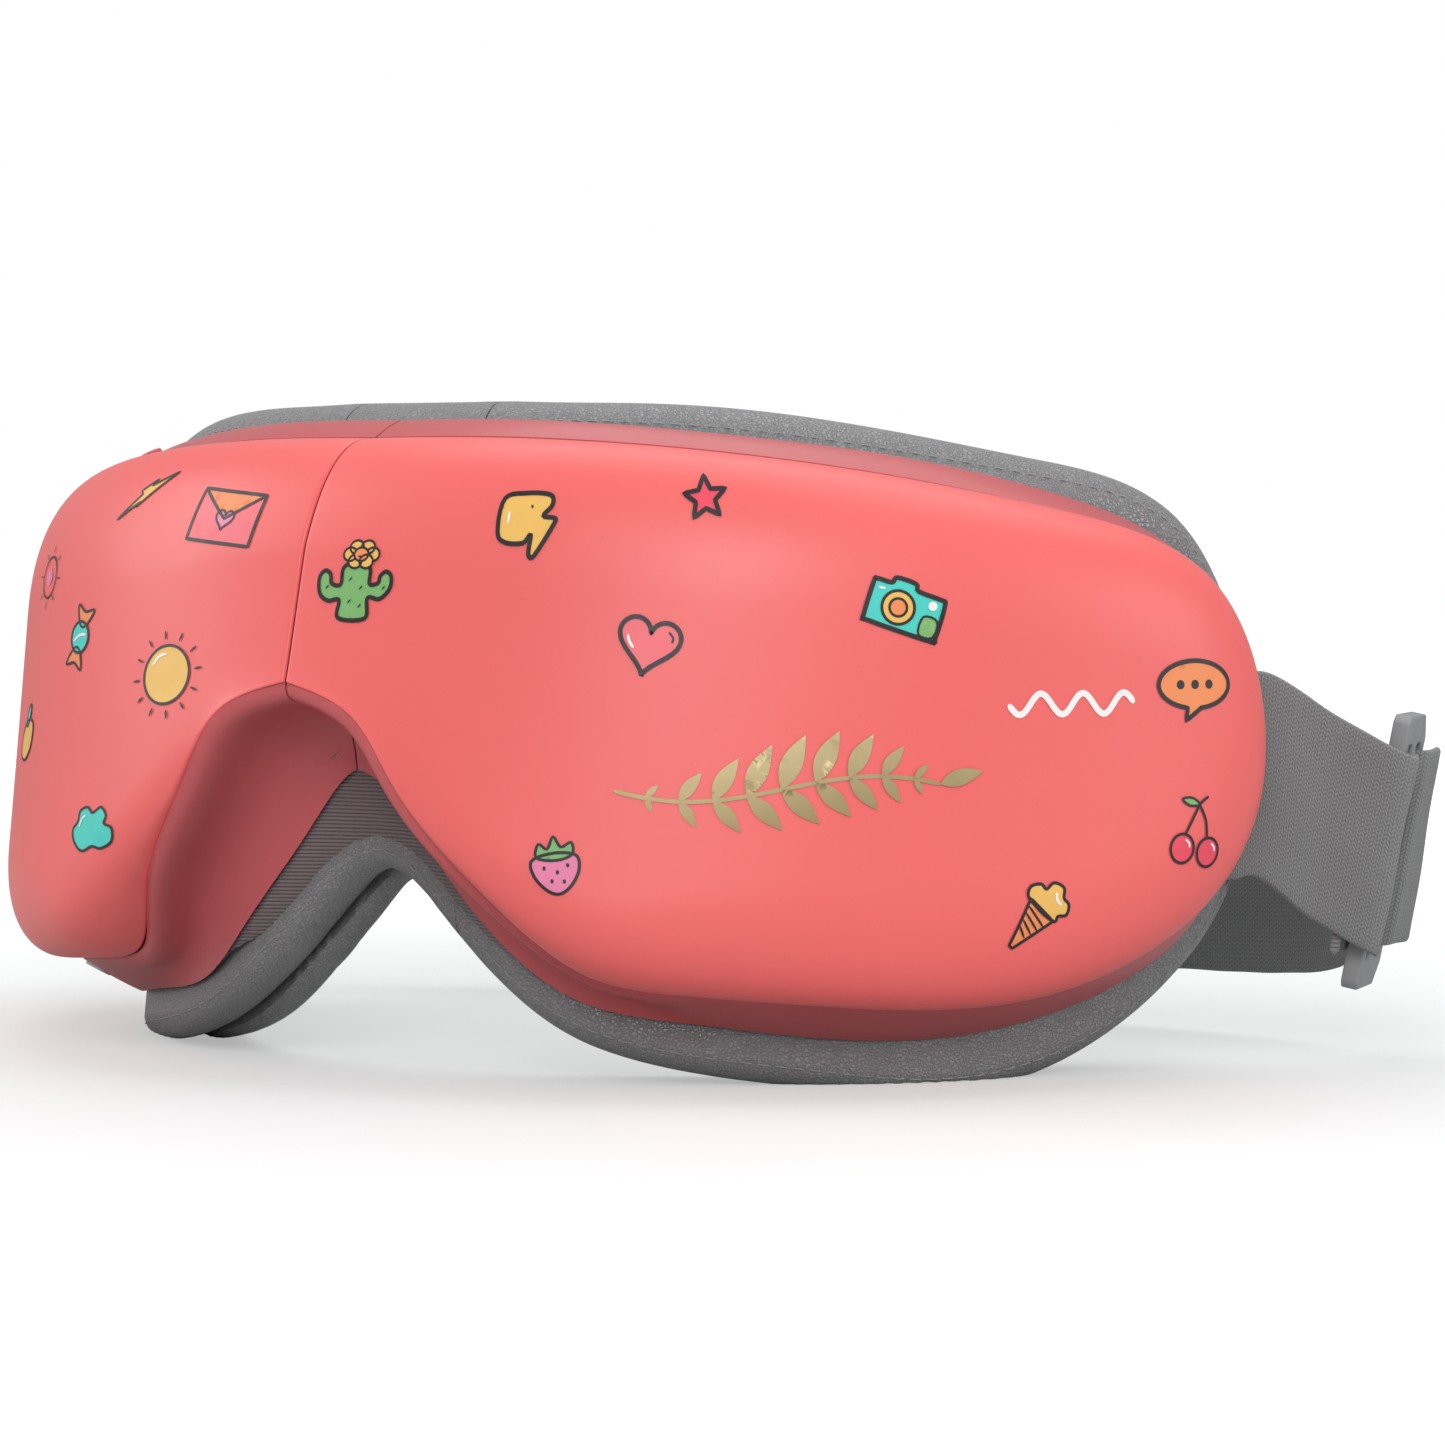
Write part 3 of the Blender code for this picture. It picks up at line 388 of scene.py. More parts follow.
def knit(name, colour, pitch):
    """Breathable knitted lining with small open cells."""
    n = Nodes(name)
    at = n.where()
    cell = n.cells(at, 900.0 / pitch)
    loop = n.span(cell, 0.0, 0.3, 1.0, 0.0)
    tone = n.blend(loop, shade(colour, 0.55), shade(colour, 1.1))
    tone = n.blend(n.uneven(at, 60.0, 4.0, 0.0, 0.3), tone, shade(colour, 0.75))
    n.bump(n.maths("ADD", loop, n.maths("MULTIPLY", n.noise(at, 2500.0, 2.0), 0.4)), 0.00016, 0.8)
    return n.finish(tone, n.span(loop, 0.0, 1.0, 0.94, 0.8), Sheen_Weight=0.3, Sheen_Roughness=0.5)


def plastic(name, colour, rough):
    """Moulded plastic with a fine spark-eroded grain."""
    n = Nodes(name)
    at = n.where()
    tone = n.blend(n.noise(at, 90.0, 3.0), shade(colour, 0.88), shade(colour, 1.10))
    wear = n.wear()
    worn = n.maths("MULTIPLY", wear, n.uneven(at, 400.0, 4.0, 0.1, 1.0, 0.35, 0.7))
    tone = n.blend(n.maths("MULTIPLY", worn, 0.4), tone, shade(colour, 1.9))
    n.bump(n.noise(at, 1500.0, 2.0), 0.00003, 0.6)
    return n.finish(tone, n.uneven(at, 300.0, 4.0, rough - 0.05, rough + 0.07))


def metal(name, colour, rough=0.3):
    """Drawn steel with fine lines and a dulled, uneven surface."""
    n = Nodes(name)
    at = n.where()
    stretch = n.add("ShaderNodeVectorMath", operation="MULTIPLY")
    n.put(stretch.inputs[0], at)
    stretch.inputs[1].default_value = (2400.0, 2400.0, 160.0)
    lines = n.noise(stretch.outputs[0], 1.0, 3.0)
    tone = n.blend(n.noise(at, 220.0, 4.0), shade(colour, 0.78), shade(colour, 1.08))
    n.bump(lines, 0.00002, 0.5)
    return n.finish(tone, n.span(lines, 0.3, 0.7, rough - 0.06, rough + 0.12), Metallic=1.0)


def film(name, colour, accent):
    """Printed film with a faint pattern of tracks."""
    n = Nodes(name)
    at = n.where()
    z = n.split(at)[2]
    track = n.span(n.maths("SINE", n.maths("MULTIPLY", z, 2 * math.pi / 0.003)), 0.55, 0.7, 0.0, 1.0)
    tone = n.blend(track, n.blend(n.noise(at, 120.0, 3.0), shade(colour, 0.85), shade(colour, 1.1)), accent)
    n.bump(n.maths("ADD", track, n.noise(at, 500.0, 3.0)), 0.00003, 0.6)
    return n.finish(tone, n.uneven(at, 300.0, 3.0, 0.30, 0.45))


def ink(name, colour, rough=0.42):
    """Pad-printed ink, a little uneven."""
    n = Nodes(name)
    at = n.where()
    tone = n.blend(n.noise(at, 260.0, 4.0), shade(colour, 0.90), shade(colour, 1.05))
    n.bump(n.noise(at, 2200.0, 2.0), 0.00001, 0.4)
    return n.finish(tone, n.uneven(at, 500.0, 3.0, rough - 0.05, rough + 0.06))


def gold_ink(name):
    """Metallic ink that runs from dark bronze at its foot to pale gold at its top."""
    n = Nodes(name)
    at = n.where()
    z = n.split(at)[2]
    rise = n.span(
        n.maths("ADD", z, n.maths("MULTIPLY", n.noise(at, 300.0, 3.0), 0.003)), 0.029, 0.053, 0.0, 1.0,
    )
    tone = n.blend(rise, srgb(112, 84, 40), srgb(214, 196, 150))
    n.bump(n.noise(at, 900.0, 2.0), 0.00001, 0.25)
    return n.finish(tone, n.uneven(at, 600.0, 3.0, 0.40, 0.50), Metallic=0.45)


CORAL = srgb(245, 108, 106)
LOOK = {
    "coral": shell_paint("coral_cover_paint", CORAL, 0.42, 0.12),
    # The side wall uses a darker copy of the cover's coral as painted shade. Its roughness and coat are its
    # own.
    "coral_wall_shaded": shell_paint("darker_coral_for_wall_shade", srgb(196, 88, 92), 0.36, 0.16),
    "leather": leather("grey_grained_leather", srgb(138, 138, 140)),
    "webbing": webbing("grey_woven_webbing", srgb(132, 132, 133)),
    "gusset": ribbed("dark_ribbed_elastic", srgb(118, 105, 106)),
    "lining": knit("dark_knitted_lining", srgb(78, 78, 82), 1.2),
    "eye_fabric": knit("grey_knitted_eye_fabric", srgb(104, 104, 110), 0.9),
    "buckle": plastic("matt_grey_plastic", srgb(142, 143, 145), 0.5),
    "thread": ink("grey_thread", srgb(158, 157, 157), 0.8),
    "black": plastic("black_plastic", srgb(34, 34, 36), 0.5),
    "cream": plastic("cream_plastic", srgb(200, 196, 186), 0.42),
    "steel": metal("drawn_steel", (0.58, 0.59, 0.61)),
    "bronze": metal("tungsten_weight", (0.42, 0.38, 0.34), 0.4),
    "heater": film("orange_heater_film", (0.62, 0.24, 0.05), (0.75, 0.5, 0.3)),
    "airbag": film("clear_grey_air_film", (0.62, 0.66, 0.68), (0.5, 0.53, 0.55)),
    "battery": film("blue_battery_wrap", (0.05, 0.12, 0.34), (0.06, 0.16, 0.42)),
    "board": film("green_circuit_board", (0.02, 0.16, 0.07), (0.05, 0.25, 0.10)),
    "cable": film("amber_flat_cable", (0.62, 0.33, 0.07), (0.5, 0.25, 0.05)),
    "rubber": plastic("soft_pale_tube", srgb(196, 195, 190), 0.5),
    "button": plastic("coral_button_rubber", srgb(205, 92, 94), 0.48),
    "lens": ink("milky_light_lens", srgb(235, 236, 240), 0.25),
    "dark_ink": ink("near_black_ink", srgb(38, 30, 34)),
    "white_ink": ink("white_ink", srgb(250, 244, 242)),
    "yellow": ink("yellow_ink", srgb(244, 194, 98)),
    "orange": ink("orange_ink", srgb(247, 146, 88)),
    "teal": ink("teal_ink", srgb(72, 214, 200)),
    "green": ink("green_ink", srgb(128, 186, 112)),
    "pink": ink("pink_ink", srgb(238, 132, 172)),
    "red": ink("red_ink", srgb(243, 78, 100)),
    "rose": ink("rose_ink", srgb(247, 112, 122)),
    "gold": gold_ink("gold_ink"),
}

# ------------------------------------------------------------------ stage


def build_floor():
    """A pale, flat floor that glows for the camera alone, more with distance from the object."""
    n = Nodes("pale_floor")
    at = n.where()
    tone = n.blend(n.noise(at, 3.0, 2.0), (0.47, 0.49, 0.49), (0.50, 0.52, 0.52))
    material = n.finish(tone, n.uneven(at, 8.0, 2.0, 0.6, 0.7), Emission_Color=(1.0, 1.0, 1.0, 1.0))
    away = n.add("ShaderNodeVectorMath", operation="LENGTH")
    n.put(away.inputs[0], at)
    seen = n.add("ShaderNodeLightPath").outputs["Is Camera Ray"]
    glow = n.span(away.outputs["Value"], 0.12, 0.5, 0.42, 0.8)
    n.put(n.shader.inputs["Emission Strength"], n.maths("MULTIPLY", seen, glow))
    mesh = bpy.data.meshes.new("floor")
    half = 12.0
    mesh.from_pydata(
        [(-half, -half, 0), (half, -half, 0), (half, half, 0), (-half, half, 0)], [], [(0, 1, 2, 3)],
    )
    mesh.materials.append(material)
    floor = bpy.data.objects.new("floor", mesh)
    SCENE.collection.objects.link(floor)


build_floor()

# ------------------------------------------------------------------ mesh building


def mend_normals(obj):
    shape = bmesh.new()
    shape.from_mesh(obj.data)
    bmesh.ops.recalc_face_normals(shape, faces=shape.faces)
    shape.to_mesh(obj.data)
    shape.free()


def mesh_piece(name, points, faces, looks, sides=None, uv=None, wear=None, closed=True, sharp=38.0):
    """A mesh piece in metres from millimetre points, smooth except at sharp edges."""
    mesh = bpy.data.meshes.new(name)
    points = (np.asarray(points, float) + SHIFT) * MM
    mesh.from_pydata([tuple(p) for p in points], [], [tuple(int(i) for i in f) for f in faces])
    for look in looks:
        mesh.materials.append(LOOK[look])
    if sides is not None:
        mesh.polygons.foreach_set("material_index", np.asarray(sides, np.int32))
    if uv is not None:
        layer = mesh.uv_layers.new(name="UVMap")
        corner = np.empty(len(mesh.loops), np.int32)
        mesh.loops.foreach_get("vertex_index", corner)
        layer.data.foreach_set("uv", np.asarray(uv, np.float32)[corner].ravel())
    attribute = mesh.attributes.new("wear", "FLOAT", "POINT")
    attribute.data.foreach_set(
        "value", np.zeros(len(points), np.float32) if wear is None else np.asarray(wear, np.float32),
    )
    if closed:
        shape = bmesh.new()
        shape.from_mesh(mesh)
        bmesh.ops.remove_doubles(shape, verts=shape.verts, dist=0.000004)
        bmesh.ops.recalc_face_normals(shape, faces=shape.faces)
        shape.to_mesh(mesh)
        shape.free()
    mesh.polygons.foreach_set("use_smooth", np.ones(len(mesh.polygons), bool))
    if sharp:
        mesh.set_sharp_from_angle(angle=math.radians(sharp))
    obj = bpy.data.objects.new(name, mesh)
    SCENE.collection.objects.link(obj)
    return obj


def quads(rows, columns, wrap=False, start=0, flip=False):
    i, j = np.meshgrid(np.arange(rows - 1), np.arange(columns if wrap else columns - 1), indexing="ij")
    k = (j + 1) % columns
    four = np.stack([i * columns + j, i * columns + k, (i + 1) * columns + k, (i + 1) * columns + j], axis=-1)
    four = four.reshape(-1, 4) + start
    return (four[:, ::-1] if flip else four).tolist()


def tube(rings):
    """Points and faces of closed rings joined in a row, with both ends capped."""
    rings = np.asarray(rings)
    count, size = rings.shape[:2]
    faces = quads(count, size, wrap=True)
    faces += [list(range(size)), [(count - 1) * size + i for i in reversed(range(size))]]
    return rings.reshape(-1, 3), faces


def border_of(count, size):
    """Indices round the edge of a grid of points."""
    index = np.arange(count * size).reshape(count, size)
    return np.concatenate([index[:, 0], index[-1, 1:], index[-2::-1, -1], index[0, -2:0:-1]])


def hash_noise(points, scale, seed=0.0):
    """Smooth, repeatable variation between -1 and 1 from a few crossed waves."""
    p = np.asarray(points, float) * scale
    a = np.sin(p[..., 0] * 1.7 + 2.1 * np.sin(p[..., 1] * 1.3 + seed) + seed)
    b = np.sin(p[..., 1] * 2.3 + 1.7 * np.sin(p[..., 2] * 1.1 + 2 * seed) + 1.3)
    c = np.sin(p[..., 2] * 1.9 + 2.3 * np.sin(p[..., 0] * 0.9 + 3 * seed) + 0.7)
    return (a + b + c) / 3.0


# ------------------------------------------------------------------ shells

def lip_radius(stations):
    """Rounding of the cover's rim, smallest over the nose where the wall takes up the curve."""
    return 0.5 - 0.2 * smoothstep(250.0, 285.0, stations)


FINE = np.linspace(0.0, LOOP_END, 420)
COVER = spline(COVER_EDGE, FINE)
OVER = spline(ROLL_OVER, FINE)
LIP = lip_radius(FINE)
SEAM = 0.16


def limits(edge, s):
    tip = int(np.argmax(edge[:, 0]))
    upper, lower = edge[: tip + 1], edge[tip:][::-1]
    return np.interp(s, lower[:, 0], lower[:, 1]), np.interp(s, upper[:, 0], upper[:, 1])


def dome(s, z):
    """Depth of the front surface at unrolled points: rolled back to its edge, with a small rounded lip."""
    points = np.stack([s, z], axis=-1).reshape(-1, 1, 2)
    out = np.empty(len(points))
    away_out = np.empty(len(points))
    start, end = COVER[None, :-1, :2], COVER[None, 1:, :2]
    along = end - start
    square = (along**2).sum(-1)
    for low in range(0, len(points), 3000):
        part = points[low : low + 3000]
        t = np.clip(((part - start) * along).sum(-1) / square, 0.0, 1.0)
        away = np.linalg.norm(start + t[..., None] * along - part, axis=-1)
        nearest = away.min(axis=1, keepdims=True)
        weight = np.exp(-(away - nearest) / 3.0)
        weight /= weight.sum(axis=1, keepdims=True)
        rim = (weight * (COVER[:-1, 2] + t * np.diff(COVER[:, 2]))).sum(axis=1)
        over = (weight * (OVER[:-1] + t * np.diff(OVER))).sum(axis=1)
        lip = (weight * (LIP[:-1] + t * np.diff(LIP))).sum(axis=1)
        u = np.clip(1.0 - nearest[:, 0] / over, 0.0, 1.0)
        fall = 1.0 - (1.0 - u**ROLL_POWER) ** (1.0 / ROLL_POWER)
        step = np.clip(lip - nearest[:, 0], 0.0, None)
        out[low : low + 3000] = rim * fall + lip - np.sqrt(np.clip(lip**2 - step**2, 0.0, None))
        away_out[low : low + 3000] = nearest[:, 0]
    shape = np.shape(s)
    edge = np.clip(0.45 - (np.abs(s) - SEAM), 0.0, 0.45)
    seam = 0.45 - np.sqrt(0.45**2 - edge**2)
    return out.reshape(shape) + seam, away_out.reshape(shape)


def build_cover(side):
    reach = COVER[:, 0].max() - 0.03
    s = np.concatenate([
        SEAM + np.array([0, 0.06, 0.15, 0.3, 0.5, 0.9]),
        SEAM + (reach - SEAM) * np.sin(np.linspace(0.012, 0.5 * np.pi, 190)),
    ])
    rows = 96
    v = 0.5 - 0.5 * np.cos(np.linspace(0.0, np.pi, rows))
    bottom, top = limits(COVER, s)
    z = bottom[:, None] + (top - bottom)[:, None] * v
    s = np.broadcast_to(s[:, None], z.shape)
    d, away = dome(s, z)
    wear = np.clip(1.0 - np.minimum(away, np.abs(s) + 0.4) / 1.3, 0.0, 1.0)
    columns = len(s)
    points = [place(s, z, d, side).reshape(-1, 3)]
    wear_and_gap_shade = [wear.ravel()]
    loop = border_of(columns, rows)
    flat = np.stack([s.ravel()[loop], z.ravel()[loop], d.ravel()[loop]], axis=1)
    ahead, behind = np.roll(flat[:, :2], -1, axis=0), np.roll(flat[:, :2], 1, axis=0)
    along = ahead - behind
    inner = unit(np.stack([-along[:, 1], along[:, 0]], axis=1))
    faces = quads(columns, rows, flip=side == LEFT)
    last = loop
    for inward, back in ((0.05, 0.22), (0.22, 0.42), (0.6, 0.5), (1.7, 0.55), (1.8, 2.0)):
        ring = flat.copy()
        ring[:, :2] += inner * inward
        ring[:, 2] += back
        new = sum(len(p) for p in points) + np.arange(len(loop))
        points.append(place(np.maximum(ring[:, 0], SEAM), ring[:, 1], ring[:, 2], side))
        # The front rim ring gets a lighter worn edge (0.4). The rings turning in behind the rim get -1, which
        # is painted shade that darkens the gap to the wall.
        wear_and_gap_shade.append(np.full(len(loop), 0.4 if back < 0.3 else -1.0))
        a, b = np.roll(last, -1), np.roll(new, -1)
        strip = np.stack([last, new, b, a], axis=1) if side == RIGHT else np.stack([last, a, b, new], axis=1)
        faces += strip.tolist()
        last = new
    name = f"front_cover_{WORD[side]}_shell"
    obj = mesh_piece(
        name, np.concatenate(points), faces, ["coral"], wear=np.concatenate(wear_and_gap_shade), closed=False, sharp=50,
    )
    mend_normals(obj)
    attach(obj, BODY[side])
    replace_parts(obj, "front_cover_" + WORD[side])


def wall_curve(stations):
    """Side wall from the parting line to the rear edge: a flat band, or a scoop inside the nose arch."""
    cover, band = spline(COVER_EDGE, stations), spline(BAND_EDGE, stations)
    lip = lip_radius(stations)
    arch = smoothstep(252.0, 292.0, stations)[:, None]
    out = np.concatenate([outward(cover), np.zeros((len(cover), 1))], axis=1)
    level = smoothstep(318.0, 330.0, stations)[:, None]
    out = out * (1 - level) + np.array([0.0, -1.0, 0.0]) * level
    out = unit(out)
    back = np.array([0.0, 0.0, 1.0])
    start = cover + back * (lip[:, None] + 0.62 - 0.5 * arch)
    start += out * (0.16 - 0.04 * arch)
    end = band
    flat_1, flat_2 = start + (end - start) / 3, start + 2 * (end - start) / 3
    bulge = out * 0.3
    first = (flat_1 + bulge) * (1 - arch) + (start + out * 6.5 + back * 0.8) * arch
    second = (flat_2 + bulge) * (1 - arch) + (start * 0.4 + end * 0.6 - out * 10.4 + back * 2.0) * arch
    return start, first, second, end, out


def build_housing(side):
    """The side wall as one closed ring: its front lip, the outer profile, the rear lip and the inner face."""
    stations = FINE
    p0, p1, p2, p3, out = wall_curve(stations)
    profiles = []
    for t in np.linspace(0.0, 1.0, 19):
        profiles.append((1 - t) ** 3 * p0 + 3 * t * (1 - t) ** 2 * p1 + 3 * t**2 * (1 - t) * p2 + t**3 * p3)
    rounded = [
        p0 - out * 1.8 + np.array([0, 0, 0.3]), p0 - out * 0.5, p0 - out * 0.2 + np.array([0, 0, -0.02]),
        p0 - out * 0.05 + np.array([0, 0, 0.05]),
    ]
    rear = [
        p3 - out * 0.06 + np.array([0, 0, 0.16]), p3 - out * 0.25 + np.array([0, 0, 0.26]),
        p3 - out * 1.7 + np.array([0, 0, 0.26]),
    ]
    inner = [profiles[k] - out * 1.8 for k in (16, 10, 4)]
    rings = np.stack(rounded + profiles + rear + inner, axis=1)
    s = np.maximum(rings[..., 0], SEAM)
    points, faces = tube(place(s, rings[..., 1], rings[..., 2], side))
    wear = np.zeros(rings.shape[:2])
    # Rows 0-2, the lip's inside in the gap to the cover, get painted shade (negative wear). Rows 3-5, the
    # front edge, get lighter worn edges.
    wear[:, :6] = [-1.0, -1.0, -0.5, 0.8, 1.0, 0.4]
    # Rows 21-22, the rear edge, get lighter worn edges. Rows 23-27, the rear lip and the inner face by the
    # cushion, get painted shade.
    wear[:, 21:28] = [0.2, 0.4, -0.4, -1.0, -1.0, -1.0, -1.0]
    return mesh_piece(
        f"housing_{WORD[side]}_wall", points, faces, ["coral_wall_shaded"], wear=wear.ravel(), sharp=42,
    )


# ------------------------------------------------------------------ face cushions and other padding


def arc(centre, radius, angles):
    turn = np.radians(angles)
    return np.stack([centre[0] + radius * np.cos(turn), centre[1] + radius * np.sin(turn)], axis=1)


FRONT_ANGLES = np.concatenate([np.linspace(-74, -52, 5), np.linspace(-46, 66, 15)])
REAR_ANGLES = np.linspace(-46, 96, 15)
STITCH_ROW = 3


def cushion_profile(roll_depth, front, band_out, drop):
    front_roll = arc((-ROLL_RADIUS, roll_depth), ROLL_RADIUS, FRONT_ANGLES)
    rear_centre = (-REAR_ROLL_RADIUS - 0.9 + drop, roll_depth + REAR_ROLL_BACK)
    rear_roll = arc(rear_centre, REAR_ROLL_RADIUS, REAR_ANGLES)
    groove = 0.5 * (front_roll[-1] + rear_roll[0])[None, :] - np.array([[0.9, 0.0]])
    crown = np.array([
        (-8.0, 10.2), (
            -10.5, 10.0,
        ), (-12.6, 9.3), (-14.4, 8.2), (-15.8, 6.8), (-16.7, 5.0), (-17.0, 3.0), (-17.0, 1.0),
    ]) + np.array([[0.0, roll_depth]])
    crown[:, 0] += 0.6 * drop * np.linspace(1.0, 0.0, 8)
    tail = np.array([(-CUSHION_WIDTH, front + 1.4), (0.5 * (-CUSHION_WIDTH + band_out), front + 0.6)])
    return np.concatenate([[(band_out, front)], front_roll, groove, rear_roll, crown, tail])


def cushion_sweep(stations):
    """Unrolled (s, z, d) rings of the padded face ring."""
    roll, band = spline(ROLL_EDGE, stations), spline(BAND_EDGE, stations)
    front = spline(CUSHION_FRONT, stations)
    drop = np.interp(stations, [205.0, 240.0, 300.0, 331.0], [0.3, 1.5, 2.0, 2.2])
    normal = outward(roll)
    rings = []
    for i in range(len(stations)):
        band_out = min(((band[i, :2] - roll[i, :2]) * normal[i]).sum() - 0.6, -2.0)
        profile = cushion_profile(roll[i, 2], front[i], max(band_out, -9.0), drop[i])
        s = roll[i, 0] + normal[i, 0] * profile[:, 0]
        z = np.maximum(roll[i, 1] + normal[i, 1] * profile[:, 0], 0.05)
        rings.append(np.stack([s, z, profile[:, 1]], axis=1))
    return np.asarray(rings)


def pucker(rings, stations):
    """Small gathers beside the stitched line and the groove."""
    wave = np.sin(2 * np.pi * stations / 3.1 + 0.8 * np.sin(stations / 7.0))
    row = np.arange(rings.shape[1])
    near = np.exp(-((row - STITCH_ROW - 1.5) / 1.6) ** 2) + 0.9 * np.exp(-((row - 21.5) / 2.4) ** 2)
    depth = 0.10 * wave[:, None] * near[None, :]
    long_wave = 0.16 * np.sin(
        stations / 9.0 + 1.5 * np.sin(stations / 23.0)
    )[:, None] * np.exp(-((row - 14) / 7.0) ** 2)[None, :]
    rear_wave = 0.20 * np.sin(
        stations / 7.3 + 1.1 * np.sin(stations / 17.0)
    )[:, None] * np.exp(-((row - 30) / 6.0) ** 2)[None, :]
    return depth + long_wave + rear_wave


def surface_normals(points):
    """Normals of swept rings, pointing away from their middles."""
    along = np.gradient(points, axis=0)
    across = np.roll(points, -1, axis=1) - np.roll(points, 1, axis=1)
    normal = unit(np.cross(along, across))
    inside_out = ((points - points.mean(axis=1, keepdims=True)) * normal).sum() < 0
    return -normal if inside_out else normal


SIM_SCALE, SIM_FRAMES = 12.0, 14


def puff(obj, pinned, pressure, cap):
    """Blows the piece up a little with cloth pressure, held at its seams, and keeps at most cap mm of it."""
    mesh = obj.data
    rest = np.empty(len(mesh.vertices) * 3)
    mesh.vertices.foreach_get("co", rest)
    rest = rest.reshape(-1, 3)
    mesh.vertices.foreach_set("co", (rest * SIM_SCALE).ravel())
    group = obj.vertex_groups.new(name="seams")
    group.add([int(i) for i in np.flatnonzero(pinned)], 1.0, "REPLACE")
    cloth = obj.modifiers.new("padding", "CLOTH")
    settings = cloth.settings
    wanted = {
        "quality": 5, "mass": 0.25, "air_damping": 1.0, "tension_stiffness": 12.0,
        "compression_stiffness": 12.0,
        "shear_stiffness": 6.0, "bending_stiffness": 0.4, "use_pressure": True,
        "uniform_pressure_force": pressure, "vertex_group_mass": "seams",
    }
    for key, value in wanted.items():
        setattr(settings, key, value)
    settings.effector_weights.gravity = 0.0
    cloth.collision_settings.use_collision = False
    cloth.collision_settings.use_self_collision = False
    cloth.point_cache.frame_start, cloth.point_cache.frame_end = 1, SIM_FRAMES
    for number in range(1, SIM_FRAMES + 1):
        SCENE.frame_set(number)
    result = obj.evaluated_get(bpy.context.evaluated_depsgraph_get()).data
    moved = np.empty(len(mesh.vertices) * 3)
    result.vertices.foreach_get("co", moved)
    step = np.nan_to_num(moved.reshape(-1, 3) / SIM_SCALE - rest)
    length = np.linalg.norm(step, axis=1, keepdims=True)
    step *= np.minimum(1.0, cap * MM / np.maximum(length, 1e-12))
    obj.modifiers.remove(cloth)
    obj.vertex_groups.remove(group)
    settled = rest + step
    settled[:, 2] = np.maximum(settled[:, 2], 0.00003)
    mesh.vertices.foreach_set("co", settled.ravel())
    mesh.update()
    SCENE.frame_set(1)


def build_face_cushion(side):
    fine = np.linspace(0.0, LOOP_END, 2649)
    reached = fine[spline(ROLL_EDGE, fine)[:, 0] > CUSHION_START]
    stations = np.linspace(reached[0] - 2.0, reached[-1] + 6.0, 380)
    stations = stations[(stations >= 0.0) & (stations <= LOOP_END)]
    rings = cushion_sweep(stations)
    keep = rings[:, :, 0].max(axis=1) > CUSHION_START + 0.02
    rings, stations = rings[keep], stations[keep]
    inside = rings[..., 0] > CUSHION_START
    rings[..., 0] = np.maximum(rings[..., 0], CUSHION_START)
    points = place(rings[..., 0], rings[..., 1], rings[..., 2], side)
    normal = surface_normals(points)
    fade = smoothstep(CUSHION_START, CUSHION_START + 5.0, rings[..., 0])
    points = points + normal * (pucker(rings, stations) * fade)[..., None]
    points[..., 2] = np.maximum(points[..., 2], 0.03)
    row = np.arange(points.shape[1])
    wear = np.exp(-((row - 12) / 3.5) ** 2) * 0.8 + np.exp(-((row - 29) / 3.5) ** 2) * 0.6
    wear = wear[None, :] * (0.6 + 0.4 * hash_noise(points, 0.35, 1.0))
    wear = np.clip(wear, 0, 1).ravel()
    mesh_name = f"face_cushion_{WORD[side]}_leather"
    obj = mesh_piece(mesh_name, *tube(points), ["leather"], wear=wear, closed=False, sharp=60)
    mend_normals(obj)
    held = np.zeros(inside.shape, bool)
    for rows in (slice(0, 2), slice(STITCH_ROW, STITCH_ROW + 2), slice(20, 22), slice(43, None)):
        held[:, rows] = True
    held |= ~inside | (rings[..., 0] < CUSHION_START + 2.0)
    puff(obj, held.ravel(), 2.2, 0.45)
    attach(obj, BODY[side])
    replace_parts(obj, "face_cushion_" + WORD[side])
    stitches(f"cushion_stitching_{WORD[side]}", points[:, STITCH_ROW], normal[:, STITCH_ROW], BODY[side])


def stitches(name, line, normal, body, length=1.9, gap=0.4, radius=0.11):
    """A row of short sunken threads along a line of points."""
    run = run_along(line)
    middles = np.arange(length, run[-1] - length, length + gap)

    def at(values, where):
        return np.stack([np.interp(where, run, values[:, k]) for k in range(3)], axis=-1)

    points, faces = [], []
    profile = [(-0.5, 0.25), (-0.38, 0.85), (0.0, 1.0), (0.38, 0.85), (0.5, 0.25)]
    for middle in middles:
        start = len(points)
        for share, thick in profile:
            where = middle + share * length
            centre = at(line, where)
            out = unit(at(normal, where))
            along = unit(at(line, where + 0.2) - at(line, where - 0.2))
            across = np.cross(out, along)
            centre = centre + out * (0.10 - 0.22 * (2 * share) ** 2)
            for turn in np.linspace(0, 2 * np.pi, 7)[:-1]:
                points.append(centre + radius * thick * (np.cos(turn) * across + np.sin(turn) * out))
        faces += quads(5, 6, wrap=True, start=start)
        faces += [[start + k for k in range(6)], [start + 24 + k for k in reversed(range(6))]]
    obj = mesh_piece(name, points, faces, ["thread"], sharp=0)
    if body:
        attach(obj, body)
    return obj


def across_seam(part_stations, at_s):
    """Cross-sections (z, d) of the swept ring at given distances from the nose."""
    rings = cushion_sweep(part_stations)
    sections = np.empty((len(at_s), rings.shape[1], 2))
    for row in range(rings.shape[1]):
        s, z, d = rings[:, row].T
        order = np.argsort(s)
        sections[:, row, 0] = np.interp(at_s, s[order], z[order])
        sections[:, row, 1] = np.interp(at_s, s[order], d[order])
    return sections


